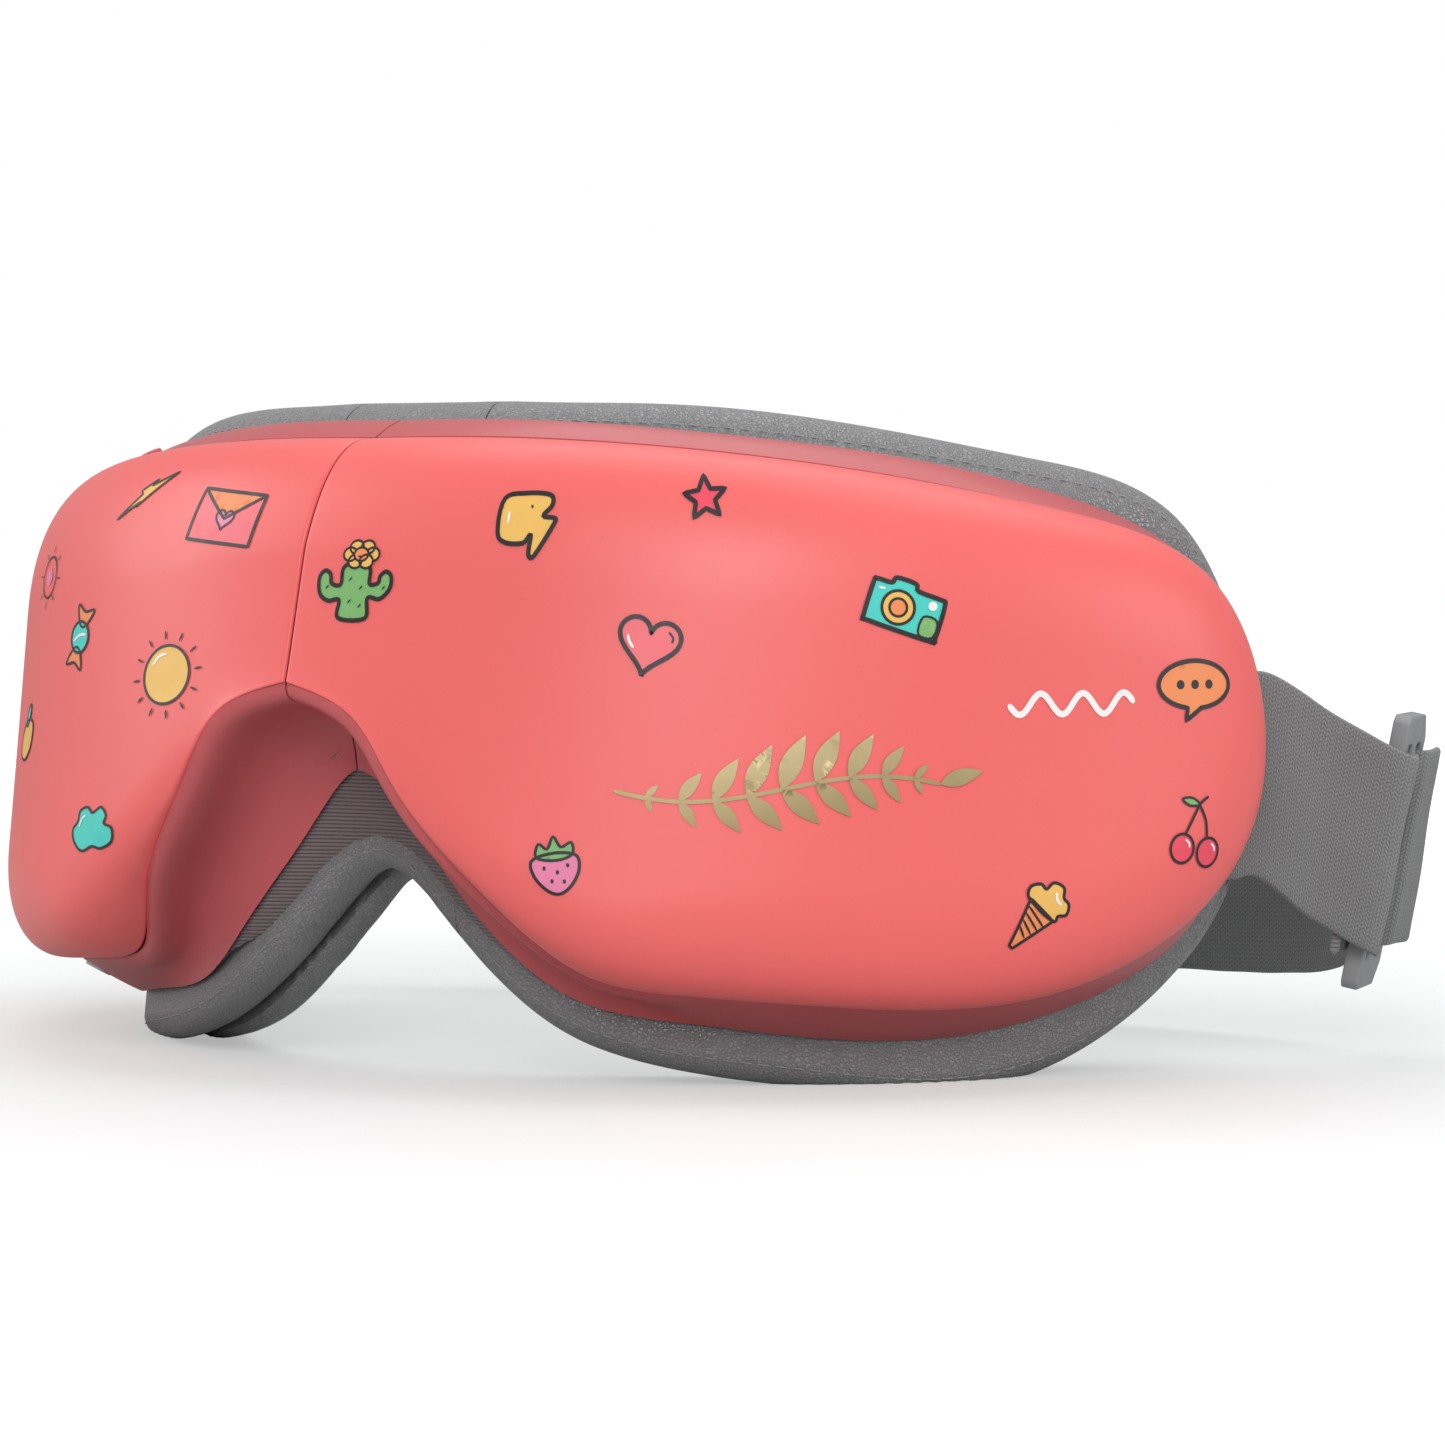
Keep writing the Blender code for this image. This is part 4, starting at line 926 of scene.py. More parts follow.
def build_bridge():
    """The soft column over the nose: the same rolls at top and arch, and a padded panel between."""
    reach = CUSHION_START - 0.005
    signed = np.linspace(-reach, reach, 61)
    at_s = np.abs(signed)
    top = across_seam(np.linspace(0.0, 36.0, 80), at_s)
    arch = across_seam(np.linspace(272.0, LOOP_END, 160), at_s)
    roll_rows = slice(0, 41)
    rings = []
    for i in range(len(at_s)):
        upper, lower = top[i, roll_rows], arch[i, roll_rows][::-1]
        t = np.linspace(0.0, 1.0, 16)[1:-1, None]
        panel = upper[-1] * (1 - t) + lower[0] * t
        panel[:, 1] += 1.1 * np.sin(np.pi * t[:, 0])
        front = np.array([(lower[-1][0] + 8.0, 25.2), (45.0, 30.6), (76.0, 25.8), (upper[0][0] - 5.0, 18.5)])
        rings.append(np.concatenate([upper, panel, lower, front]))
    rings = np.asarray(rings)
    points = place(signed[:, None], rings[..., 0], rings[..., 1])
    normal = surface_normals(points)
    fade = smoothstep(reach, reach - 4.0, at_s)[:, None]
    points = points + normal * (0.10 * hash_noise(points, 0.5, 2.0) * fade)[..., None]
    obj = mesh_piece("bridge_cushion_leather", *tube(points), ["leather"], sharp=60)
    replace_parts(obj, "bridge_cushion")
    lines = []
    for sections, word, rise in ((arch, "arch", -1.0), (top, "top", 1.0)):
        section = sections[:, STITCH_ROW]
        line = place(signed, section[:, 0], section[:, 1])
        out = unit(place(signed, section[:, 0] + rise, section[:, 1] - 1.0) - line)
        lines.append(stitches(f"bridge_stitching_{word}", line, out, None))
    return [obj, *lines]


def build_gusset():
    """Ribbed elastic between the arch wall and the cushion."""
    stations = np.linspace(277.0, LOOP_END, 80)
    band, roll = spline(BAND_EDGE, stations), spline(ROLL_EDGE, stations)
    out_band, out_roll = outward(band), outward(roll)
    upper, lower = band.copy(), roll.copy()
    upper[:, :2] -= out_band * 1.1
    upper[:, 2] += 0.55
    lower[:, :2] -= out_roll * 4.2
    lower[:, 2] = roll[:, 2] - 4.3
    rows = np.linspace(0.0, 1.0, 26)
    opened = smoothstep(276.0, 296.0, stations)
    near = []
    for side in (RIGHT, LEFT):
        order = range(len(stations)) if side == RIGHT else range(len(stations) - 2, -1, -1)
        for i in order:
            line = upper[i] + rows[:, None] * (lower[i] - upper[i]) * (0.08 + 0.92 * opened[i])
            bulge = 0.9 * opened[i] * np.sin(np.pi * rows)
            near.append(
                place(np.maximum(line[:, 0], 0.0), line[:, 1] - 0.4 * bulge, line[:, 2] - 0.5 * bulge, side)
            )
    near = np.asarray(near)
    normal = unit(np.cross(np.gradient(near, axis=0), np.gradient(near, axis=1)))
    if normal[:, :, 1].mean() > 0:
        normal = -normal
    ribs = 0.10 * np.sin(2 * np.pi * near[..., 2] / 1.04)
    front = near + normal * ribs[..., None]
    back = near - normal * 0.7
    count, size = front.shape[:2]
    faces = quads(count, size) + quads(count, size, start=count * size, flip=True)
    border = border_of(count, size)
    after = np.roll(border, -1)
    faces += np.stack([border, after, after + count * size, border + count * size], axis=1).tolist()
    points = np.concatenate([front.reshape(-1, 3), back.reshape(-1, 3)])
    obj = mesh_piece("nose_gusset_elastic", points, faces, ["gusset"], sharp=60)
    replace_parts(obj, "nose_gusset")
    return obj


def build_eye_pad(side):
    """A quilted oval fabric pad with a piped edge."""
    angles = np.linspace(0.0, 2 * np.pi, 121)[:-1]
    cosine, sine = np.cos(angles), np.sin(angles)
    oval_s = np.sign(cosine) * np.abs(cosine) ** (2 / EYE_POWER) * EYE_HALF[0]
    oval_z = np.sign(sine) * np.abs(sine) ** (2 / EYE_POWER) * EYE_HALF[1]

    def ring(share, depth):
        return place(EYE_CENTRE[0] + oval_s * share, EYE_CENTRE[1] + oval_z * share, depth, side)

    steps = [
        (0.0, 27.7), (0.3, 27.7), (0.6, 27.7), (0.9, 27.7), (0.97, 27.75), (0.995, 28.1), (1.0, 28.7),
        (0.985, 29.3), (0.96, 29.6), (0.93, 29.75), (0.9, 30.1), (0.86, 30.6), (0.81, 31.1), (0.76, 31.4),
        (0.71, 31.5), (0.665, 31.35), (0.64, 31.0), (0.62, 30.95), (0.6, 31.1), (0.56, 31.6), (0.5, 32.0),
        (0.43, 32.2), (0.35, 32.3), (0.26, 32.4), (0.17, 32.4), (0.08, 32.4), (0.0, 32.4),
    ]
    points, held = [], []
    for k, d in steps:
        points.append(ring(max(k, 0.002), d))
        held.append(np.full(len(angles), d < 29.8 or abs(k - 0.63) < 0.015))
    obj = mesh_piece(f"eye_pad_{WORD[side]}_fabric", *tube(points), ["eye_fabric"], closed=False, sharp=0)
    mend_normals(obj)
    puff(obj, np.asarray(held).ravel(), 3.0, 0.8)
    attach(obj, BODY[side])
    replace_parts(obj, "eye_pad_" + WORD[side])
    for share, word, depth in ((0.955, "rim", 29.75), (0.63, "quilt", 31.1)):
        line, out = ring(share, depth), ring(share, depth + 1.0)
        line = np.concatenate([line, line[:1]])
        out = np.concatenate([out, out[:1]]) - line
        stitches(f"eye_pad_{WORD[side]}_{word}_stitching", line, out, BODY[side], 1.7, 1.0, 0.16)


# ------------------------------------------------------------------ straps and buckle

STRAP_WIDTH, STRAP_THICK = 28.0, 1.4
BUCKLE_CENTRE, BUCKLE_ALONG, BUCKLE_LEAN = (101.0, 115.0, 28.5), (-0.26, 0.966), 0.2
BUCKLE_LENGTH, BUCKLE_WIDTH, BUCKLE_THICK, BUCKLE_BAR, BUCKLE_SLOT = 38.5, 13.0, 2.4, 2.3, 3.05
FRONT_BAR, REAR_BAR = -(BUCKLE_WIDTH - BUCKLE_BAR) / 2, (BUCKLE_WIDTH - BUCKLE_BAR) / 2


def curve_point(a, b, c, d, t):
    """A point between b and c on the smooth curve through all four."""
    return 0.5 * (2 * b + (c - a) * t + (2 * a - 5 * b + 4 * c - d) * t**2 + (3 * b - a - 3 * c + d) * t**3)


def curve_through(points, count):
    points = np.asarray(points, float)
    padded = np.concatenate([[2 * points[0] - points[1]], points, [2 * points[-1] - points[-2]]])
    pieces = []
    for i in range(1, len(padded) - 2):
        t = np.linspace(0.0, 1.0, 40, endpoint=False)[:, None]
        pieces.append(curve_point(*padded[i - 1 : i + 3], t))
    dense = np.concatenate([*pieces, points[-1:]])
    length = run_along(dense)
    want = np.linspace(0.0, length[-1], count)
    return np.stack([np.interp(want, length, dense[:, k]) for k in range(dense.shape[1])], axis=1)


def buckle_point(along, out, height=0.0):
    e = np.array([*BUCKLE_ALONG, 0.0])
    n = np.array([BUCKLE_ALONG[1], -BUCKLE_ALONG[0], 0.0])
    up = n * BUCKLE_LEAN + np.array([0.0, 0.0, 1.0])
    return np.asarray(BUCKLE_CENTRE) + e * along + n * out + up / np.linalg.norm(up) * height


def hairpin(bar, direction, start_out):
    out_radius = BUCKLE_THICK / 2 + 0.35 + STRAP_THICK / 2
    along_radius = BUCKLE_BAR / 2 + 0.35 + STRAP_THICK / 2
    quarter = [(0.0, 1.0), (0.34, 0.995), (0.62, 0.96), (0.82, 0.85), (0.95, 0.66), (0.99, 0.35), (1.0, 0.0)]
    turn = quarter + [(along, -out) for along, out in reversed(quarter[:-1])]
    return [buckle_point(bar + direction * along_radius * a, start_out * out_radius * o) for a, o in turn]


def strap_lean(points):
    away = np.linalg.norm(points[:, :2] - np.asarray(BUCKLE_CENTRE[:2]), axis=1)
    share = np.clip(1.0 - (away - 8.0) / 22.0, 0.0, 1.0)
    return share[:, None] * BUCKLE_LEAN * np.array([BUCKLE_ALONG[1], -BUCKLE_ALONG[0]])[None, :]


def temple_points(side):
    return [place(s, 39.4, d, side) for s, d in ((134.5, 15.95), (139.0, 15.9), (144.0, 15.6), (149.0, 15.0))]


def near_strap_path():
    turn = hairpin(FRONT_BAR, 1.0, 1.0)
    lead = [*temple_points(LEFT), np.array([98.9, 101.0, 33.6]), buckle_point(FRONT_BAR - 4.0, 2.5)]
    tail = [buckle_point(FRONT_BAR - 2.5, -2.3), buckle_point(FRONT_BAR - 5.0, -2.4)]
    return np.concatenate([curve_through([*lead, turn[0]], 70), turn[1:], tail])


def far_strap_path():
    turn = hairpin(REAR_BAR, -1.0, -1.0)
    free_end = [buckle_point(REAR_BAR + 7.0, 2.4), buckle_point(REAR_BAR + 3.0, 2.3)]
    path = [
        buckle_point(REAR_BAR + 2.0, -2.6), (90.0, 126.0, 24.5), (76.0, 129.5, 23.0), (40.0, 134.5, 22.5),
        (0.0, 137.0, 24.5), (-45.0, 134.0, 29.5), (-80.0, 124.0, 35.0), (-95.0, 112.0, 38.0),
        *[np.asarray(p) for p in reversed(temple_points(RIGHT))],
    ]
    return np.concatenate([free_end, turn[::-1][:-1], curve_through([turn[0], *path], 260)])


def build_strap(name, path):
    """Flat webbing with rounded selvedges and a UV map in millimetres."""
    lean = strap_lean(path)
    along = unit(np.gradient(path[:, :2], axis=0))
    across = np.stack([along[:, 1], -along[:, 0], np.zeros(len(path))], axis=1)
    up = unit(np.concatenate([lean, np.ones((len(path), 1))], axis=1))
    run = run_along(path)
    half, thick = STRAP_WIDTH / 2, STRAP_THICK / 2 - 0.06
    levels = np.linspace(-half + 0.7, half - 0.7, 15)
    profile = [(-1.0, v) for v in levels]
    profile += [(-0.8, half - 0.3), (-0.35, half - 0.05), (0.35, half - 0.05), (0.8, half - 0.3)]
    profile += [(1.0, v) for v in levels[::-1]]
    profile += [(0.8, -half + 0.3), (0.35, -half + 0.05), (-0.35, -half + 0.05), (-0.8, -half + 0.3)]
    profile = np.asarray(profile)
    edge = 0.12 * np.sin(run * 2 * np.pi / 26.0) + 0.07 * np.sin(run * 2 * np.pi / 9.0 + 1.0)
    points, uv = [], []
    for i in range(len(path)):
        ripple = 0.10 * np.sin(profile[:, 1] * 0.35 + run[i] / 11.0)
        level = profile[:, 1] * (1 - 0.004) + edge[i] * np.abs(profile[:, 1] / half) ** 6 * 0.4
        points.append(
            path[i] + across[i] * (profile[:, :1] * thick + ripple[:, None]) + up[i] * level[:, None]
        )
        uv.append(np.stack([np.full(len(profile), run[i]), profile[:, 1]], axis=1))
    obj = mesh_piece(name, *tube(points), ["webbing"], uv=np.asarray(uv).reshape(-1, 2), sharp=50)
    return obj


def crossings(points, loop):
    """How many edges of the loop lie to the right of each point."""
    a, b = loop, np.roll(loop, -1, axis=0)
    spans = (a[:, 1] > points[:, None, 1]) != (b[:, 1] > points[:, None, 1])
    rise = np.where(np.abs(b[:, 1] - a[:, 1]) < 1e-12, 1e-12, b[:, 1] - a[:, 1])
    right = points[:, None, 0] < a[:, 0] + (points[:, None, 1] - a[:, 1]) * (b[:, 0] - a[:, 0]) / rise
    return (spans & right).sum(axis=1)


def inner_points(outer, spacing):
    """Staggered points inside an outline, clear of its edge."""
    low, high = outer.min(axis=0), outer.max(axis=0)
    xs, ys = np.arange(low[0], high[0], spacing), np.arange(low[1], high[1], spacing)
    spots = np.array([(x + 0.5 * spacing * (k % 2), y) for k, y in enumerate(ys) for x in xs])
    if not len(spots):
        return []
    along = np.roll(outer, -1, axis=0) - outer
    square = np.maximum((along**2).sum(-1), 1e-12)
    t = np.clip(((spots[:, None] - outer) * along).sum(-1) / square, 0, 1)
    away = np.linalg.norm(outer + t[..., None] * along - spots[:, None], axis=-1).min(axis=1)
    within = (crossings(spots, outer) % 2 == 1) & (away > 0.4 * spacing)
    return [tuple(p) for p in spots[within]]


def outline_fill(loops, spacing):
    """Triangles inside an outline and its holes, with inner points so that it can follow a curved surface."""
    loops = [np.asarray(loop, float) for loop in loops]
    points, edges = [], []
    for loop in loops:
        start = len(points)
        points += [tuple(p) for p in loop]
        edges += [(start + i, start + (i + 1) % len(loop)) for i in range(len(loop))]
    if spacing:
        points += inner_points(loops[0], spacing)
    found = delaunay_2d_cdt([Vector(p) for p in points], edges, [], 0, 1e-5, False)
    places = np.array([tuple(v) for v in found[0]])
    faces = np.array([list(f) for f in found[2]])
    middle = places[faces].mean(axis=1)
    count = sum(crossings(middle, loop) for loop in loops)
    return places.tolist(), faces[count % 2 == 1].tolist()


def axes_matrix(x, y, z, origin):
    where = Matrix.Identity(4)
    for column, axis in enumerate((x, y, z)):
        where.col[column][:3] = axis
    where.translation = origin
    return where


def slab(name, loops, depth, where, look, bevel, body):
    """A flat plate of any outline, with holes and softly rounded edges, put where the matrix says."""
    verts, faces = outline_fill(loops, 0.0)
    shape = bmesh.new()
    made = [shape.verts.new((x * MM, -0.5 * depth * MM, y * MM)) for x, y in verts]
    for face in faces:
        shape.faces.new([made[i] for i in face])
    bmesh.ops.dissolve_limit(shape, angle_limit=0.01, verts=shape.verts, edges=shape.edges)
    out = bmesh.ops.extrude_face_region(shape, geom=shape.faces[:])
    moved = [g for g in out["geom"] if isinstance(g, bmesh.types.BMVert)]
    bmesh.ops.translate(shape, vec=(0, depth * MM, 0), verts=moved)
    bmesh.ops.recalc_face_normals(shape, faces=shape.faces)
    mesh = bpy.data.meshes.new(name)
    shape.to_mesh(mesh)
    shape.free()
    mesh.materials.append(LOOK[look])
    obj = bpy.data.objects.new(name, mesh)
    SCENE.collection.objects.link(obj)
    soft = obj.modifiers.new("soft_edges", "BEVEL")
    soft.width = bevel * MM
    soft.segments = 3
    soft.limit_method = "ANGLE"
    soft.angle_limit = math.radians(25)
    obj.matrix_world = where
    bake(obj)
    for polygon in obj.data.polygons:
        polygon.use_smooth = True
    obj.data.set_sharp_from_angle(angle=math.radians(35))
    points = np.array([v.co for v in obj.data.vertices])
    attribute = obj.data.attributes.new("wear", "FLOAT", "POINT")
    attribute.data.foreach_set("value", (0.5 + 0.5 * hash_noise(points, 300.0)).astype(np.float32) * 0.5)
    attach(obj, body)
    return obj


def bake(obj):
    """Applies the modifiers and the object's own matrix to its mesh."""
    bpy.context.view_layer.update()
    mesh = bpy.data.meshes.new_from_object(obj.evaluated_get(bpy.context.evaluated_depsgraph_get()))
    matrix = obj.matrix_world.copy()
    obj.modifiers.clear()
    obj.data = mesh
    mesh.transform(matrix)
    if matrix.determinant() < 0:
        mesh.flip_normals()
    obj.matrix_world = Matrix.Identity(4)


def build_buckle():
    e = Vector((*BUCKLE_ALONG, 0.0)).normalized()
    n = Vector((BUCKLE_ALONG[1], -BUCKLE_ALONG[0], 0.0)).normalized()
    up = (n * BUCKLE_LEAN + Vector((0.0, 0.0, 1.0))).normalized()
    where = axes_matrix(e, e.cross(up), up, Vector((np.asarray(BUCKLE_CENTRE) + SHIFT) * MM))
    half, tall, cut = BUCKLE_WIDTH / 2, BUCKLE_LENGTH / 2, 2.6
    outer = [
        (-half + 0.9, -tall), (half - cut, -tall), (half, -tall + cut * 1.2), (half, tall - cut * 1.2),
        (half - cut, tall), (-half + 0.9, tall), (-half, tall - 0.9), (-half, -tall + 0.9),
    ]
    slot_half, slot_tall = BUCKLE_SLOT / 2, STRAP_WIDTH / 2 + 1.2
    right_side = [
        (slot_half - 0.5, -slot_tall), (slot_half, -slot_tall + 0.5), (slot_half, slot_tall - 0.5),
        (slot_half - 0.5, slot_tall),
    ]
    left_side = [(-x, y) for x, y in reversed(right_side)]
    around = [left_side[-2], left_side[-1], *right_side, *left_side[:-2]]
    middles = (FRONT_BAR + BUCKLE_BAR / 2 + slot_half, REAR_BAR - BUCKLE_BAR / 2 - slot_half)
    holes = [[(middle + x, y) for x, y in around] for middle in middles]
    obj = slab(
        "strap_buckle_frame", [outer, *holes], BUCKLE_THICK, where, "buckle", 0.32,
        "left_half",
    )
    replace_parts(obj, "strap_buckle")


# ------------------------------------------------------------------ controls


def wall_frame(station, share, side):
    """Millimetre matrix on the side wall: X along the edge, Y to the back, Z outwards."""
    at = np.array([station - 1.0, station, station + 1.0])
    front, rear = spline(COVER_EDGE, at), spline(BAND_EDGE, at)
    a, b = place(*front.T, side), place(*rear.T, side)
    origin = Vector(a[1] + share * (b[1] - a[1]))
    back = Vector(b[1] - a[1]).normalized()
    along = Vector(a[2] - a[0])
    out = along.cross(back).normalized() * side
    middle = Vector(place(np.array(70.0), np.array(47.0), np.array(9.0), side))
    if out.dot(origin - middle) < 0:
        out = -out
    along = back.cross(out).normalized()
    return axes_matrix(along, back, out, origin)


def stadium(width, height, count=12):
    """Points round a slot-shaped outline."""
    radius = height / 2
    turn = np.linspace(-0.5 * np.pi, 0.5 * np.pi, count)
    right = np.stack([width / 2 - radius + radius * np.cos(turn), radius * np.sin(turn)], axis=1)
    return np.concatenate([right, -right])


def turned(name, where, layers, look, body):
    """A body through outlines (points, height) in a wall frame."""
    rings = []
    for outline, height in layers:
        local = np.concatenate(
            [outline, np.full((len(outline), 1), height), np.ones((len(outline), 1))], axis=1,
        )
        rings.append((np.array(where) @ local.T).T[:, :3])
    wear = np.zeros((len(rings), len(rings[0])))
    wear[len(rings) // 2 :] = 0.5
    obj = mesh_piece(name, *tube(rings), [look], wear=wear.ravel(), sharp=40.0)
    if body:
        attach(obj, body)
    return obj


def cut_out(obj, cutters):
    for cutter in cutters:
        step = obj.modifiers.new("cut", "BOOLEAN")
        step.object = cutter
        step.operation = "DIFFERENCE"
        step.solver = "EXACT"
    bake(obj)
    for cutter in cutters:
        bpy.data.objects.remove(cutter, do_unlink=True)
    obj.data.set_sharp_from_angle(angle=math.radians(42))


def hole_cutter(where, outline):
    return turned("cutter", where, [(outline, -5.0), (outline, 5.0)], "black", None)


def button_mark(name, where, lines, body):
    """A raised symbol on a button, from short thick lines."""
    points, faces = [], []
    for line in lines:
        line = np.asarray(line, float)
        along = unit(np.gradient(line, axis=0))
        normal = np.stack([-along[:, 1], along[:, 0]], axis=1) * 0.16
        start = len(points)
        for p, q in zip(line, normal):
            for x, y, h in (
                (*(p - q), 0.62), (*(p - q * 0.7), 0.74), (*(p + q * 0.7), 0.74), (*(p + q), 0.62),
            ):
                points.append(where @ Vector((x, y, h)))
        faces += quads(len(line), 4, start=start)
    obj = mesh_piece(name, [tuple(p) for p in points], faces, ["white_ink"], closed=False, sharp=0)
    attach(obj, body)


def build_controls(wall):
    """Two push buttons, a status light and the charging port, set in openings of the right side wall."""
    frames = {"power_button": wall_frame(72.0, 0.42, RIGHT), "mode_button": wall_frame(96.0, 0.42, RIGHT)}
    light, port = wall_frame(84.0, 0.42, RIGHT), wall_frame(236.0, 0.34, RIGHT)
    turn = np.linspace(0, 2 * np.pi, 33)[:-1]
    ring = np.stack([np.cos(turn), np.sin(turn)], axis=1)
    cutters = [hole_cutter(where, stadium(11.0, 4.0)) for where in frames.values()]
    cutters += [hole_cutter(light, ring * 1.4), hole_cutter(port, stadium(9.8, 4.0))]
    cut_out(wall, cutters)
    for name, where in frames.items():
        layers = [
            (stadium(10.2, 3.2), -1.8), (stadium(10.2, 3.2), 0.28), (stadium(10.1, 3.1), 0.46),
            (stadium(9.8, 2.8), 0.6),
        ]
        layers += [(stadium(9.2, 2.2), 0.66), (stadium(7.6, 1.6), 0.66), (stadium(6.4, 1.0), 0.63)]
        obj = turned(name + "_cap", where, layers, "button", name)
        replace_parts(obj, name)
    arc_turn = np.linspace(np.radians(130), np.radians(410), 18)
    power = [
        np.stack([0.7 * np.cos(arc_turn), 0.7 * np.sin(arc_turn)], axis=1),
        [(0.0, 0.15), (0.0, 0.55), (0.0, 0.95)],
    ]
    button_mark("power_button_mark", frames["power_button"], power, "power_button")
    wave = np.linspace(-1.6, 1.6, 17)
    button_mark(
        "mode_button_mark", frames["mode_button"], [np.stack([wave, 0.45 * np.sin(wave * 3.0)], axis=1)],
        "mode_button",
    )
    layers = [
        (ring * 1.0, -2.1), (ring * 1.0, 0.0), (ring * 0.92, 0.18), (ring * 0.7, 0.27), (ring * 0.3, 0.30),
    ]
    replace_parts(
        turned("status_light_lens", light, layers, "lens", "right_half"), "status_light",
    )
    rim = [
        (stadium(9.0, 3.2), -6.8), (stadium(9.0, 3.2), -0.05), (stadium(8.8, 3.0), 0.1),
        (stadium(8.5, 2.7), 0.1),
    ]
    rim += [(stadium(8.3, 2.5), -0.05), (stadium(8.3, 2.5), -5.9)]
    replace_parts(turned("charge_port_shell", port, rim, "steel", "right_half"), "charge_port")
    tongue = [(stadium(6.6, 0.7), -5.8), (stadium(6.6, 0.7), -1.3), (stadium(6.3, 0.5), -1.1)]
    turned("charge_port_tongue", port, tongue, "black", "right_half")


# ------------------------------------------------------------------ printed pictures


def spun(turn):
    """Turns rows of (u, v) by an angle."""
    c, s = math.cos(turn), math.sin(turn)
    return np.array([[c, s], [-s, c]])


def oval(cx, cy, rx, ry, turn=0.0, count=30):
    angles = np.linspace(0.0, 2 * math.pi, count, endpoint=False)
    x, y = rx * np.cos(angles), ry * np.sin(angles)
    c, s = math.cos(turn), math.sin(turn)
    return np.stack([cx + c * x - s * y, cy + s * x + c * y], axis=1)


def rounded(points, closed=True, steps=7):
    """A smooth line through the points."""
    points = np.asarray(points, float)
    count = len(points)
    out = []
    for i in range(count if closed else count - 1):
        near = [(i + k) % count if closed else min(max(i + k, 0), count - 1) for k in (-1, 0, 1, 2)]
        out += [curve_point(*points[near], t) for t in np.linspace(0, 1, steps, endpoint=False)]
    if not closed:
        out.append(points[-1])
    return np.asarray(out)


def inked(shape, fill, width):
    """A filled shape with a dark outline."""
    return [("fill", shape, fill, 0), ("loop", shape, "dark_ink", width)]


def stroke(points, colour, width):
    """A smooth line through the points."""
    return ("line", rounded(points, False), colour, width)


def rays(count, start, end, first, width):
    """Short dark lines that point away from the middle."""
    spokes = []
    for a in np.arange(count) * math.pi / (count / 2) + first:
        spokes.append(("line", [(r * math.cos(a), r * math.sin(a)) for r in (start, end)], "dark_ink", width))
    return spokes


def blade_outline(length, fullness):
    """A pointed leaf that grows along +u from the origin."""
    run = np.linspace(0.0, 1.0, 13)
    half = length * fullness * np.sin(np.pi * run**0.85)
    upper = np.stack([run * length, half], axis=1)
    return np.concatenate([upper, (upper * (1.0, -0.8))[-2:0:-1]])


def turned_about(line, turn, u, v):
    return line @ spun(turn) + np.array([u, v])


def dense(points, closed, step):
    """The same line with points no further apart than the step."""
    points = np.asarray(points, float)
    ring = np.concatenate([points, points[:1]]) if closed else points
    out = []
    for a, b in zip(ring[:-1], ring[1:]):
        count = max(1, int(np.ceil(np.linalg.norm(b - a) / step)))
        out += [a + (b - a) * k / count for k in range(count)]
    if not closed:
        out.append(ring[-1])
    return np.asarray(out)


FILL_LIFT, LINE_LIFT = 0.07, 0.13
FILL_LIFT_STEP, LINE_LIFT_STEP = 0.008, 0.004
FILL_SPACING, LINE_SPACING, FILL_GRID = 0.6, 0.4, 1.1
LINE_SPREAD = 1.12
TIP_WIDTH, TIP_GROWTH = 0.45, 0.35
FAR_STRETCH = 1.25


def picture(name, side, s0, z0, turn, layers, size=1.0):
    """A printed picture on a front cover, from layers of (kind, points, ink, width) in millimetres.

    Kinds are fill, loop and line. u runs to the right, seen from the front. Far pictures are wider.
    """
    points, faces, inks, looks = [], [], [], []
    for number, (kind, line, colour, width) in enumerate(layers):
        if colour not in looks:
            looks.append(colour)
        closed = kind in ("fill", "loop")
        if kind == "fill":
            border = dense(line, True, FILL_SPACING)
            flat, triangles = outline_fill([border], FILL_GRID)
            lift = FILL_LIFT + FILL_LIFT_STEP * number
        else:
            path = dense(line, closed, LINE_SPACING)
            count = len(path)
            if closed:
                along = np.roll(path, -1, axis=0) - np.roll(path, 1, axis=0)
            else:
                along = np.gradient(path, axis=0)
            along = unit(along)
            normal = np.stack([-along[:, 1], along[:, 0]], axis=1) * (width * LINE_SPREAD) / 2
            if not closed:
                order = np.arange(count)
                taper = np.minimum(1.0, TIP_WIDTH + np.minimum(order, order[::-1]) * TIP_GROWTH)
                normal *= taper[:, None]
            flat = np.stack([path - normal, path + normal], axis=1).reshape(-1, 2)
            triangles = []
            for i in range(count if closed else count - 1):
                k = (i + 1) % count
                triangles.append([2 * i, 2 * k, 2 * k + 1, 2 * i + 1])
            lift = LINE_LIFT + LINE_LIFT_STEP * number
        start = len(points)
        points += [(u, v, lift) for u, v in flat]
        faces += [[start + i for i in f] for f in triangles]
        inks += [looks.index(colour)] * len(triangles)
    points = np.asarray(points, float)
    c, s = math.cos(turn), math.sin(turn)
    u = size * (c * points[:, 0] - s * points[:, 1])
    v = size * (s * points[:, 0] + c * points[:, 1])
    stretch = FAR_STRETCH if side == RIGHT else 1.0
    along, z = s0 + u * side * stretch, z0 + v
    depth, _ = dome(along, z)
    world_points = place(along, z, depth - points[:, 2], side)
    obj = mesh_piece(name, world_points, faces, looks, sides=inks, closed=False, sharp=0)
    middle = Vector((float(v) for v in (world_points.mean(axis=0) + SHIFT) * MM))
    outward = middle - Vector((middle.x * 0.3, 0.02, middle.z))
    shape = bmesh.new()
    shape.from_mesh(obj.data)
    wrong = [f for f in shape.faces if f.normal.dot(outward) < 0]
    bmesh.ops.reverse_faces(shape, faces=wrong)
    shape.to_mesh(obj.data)
    shape.free()
    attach(obj, BODY[side])


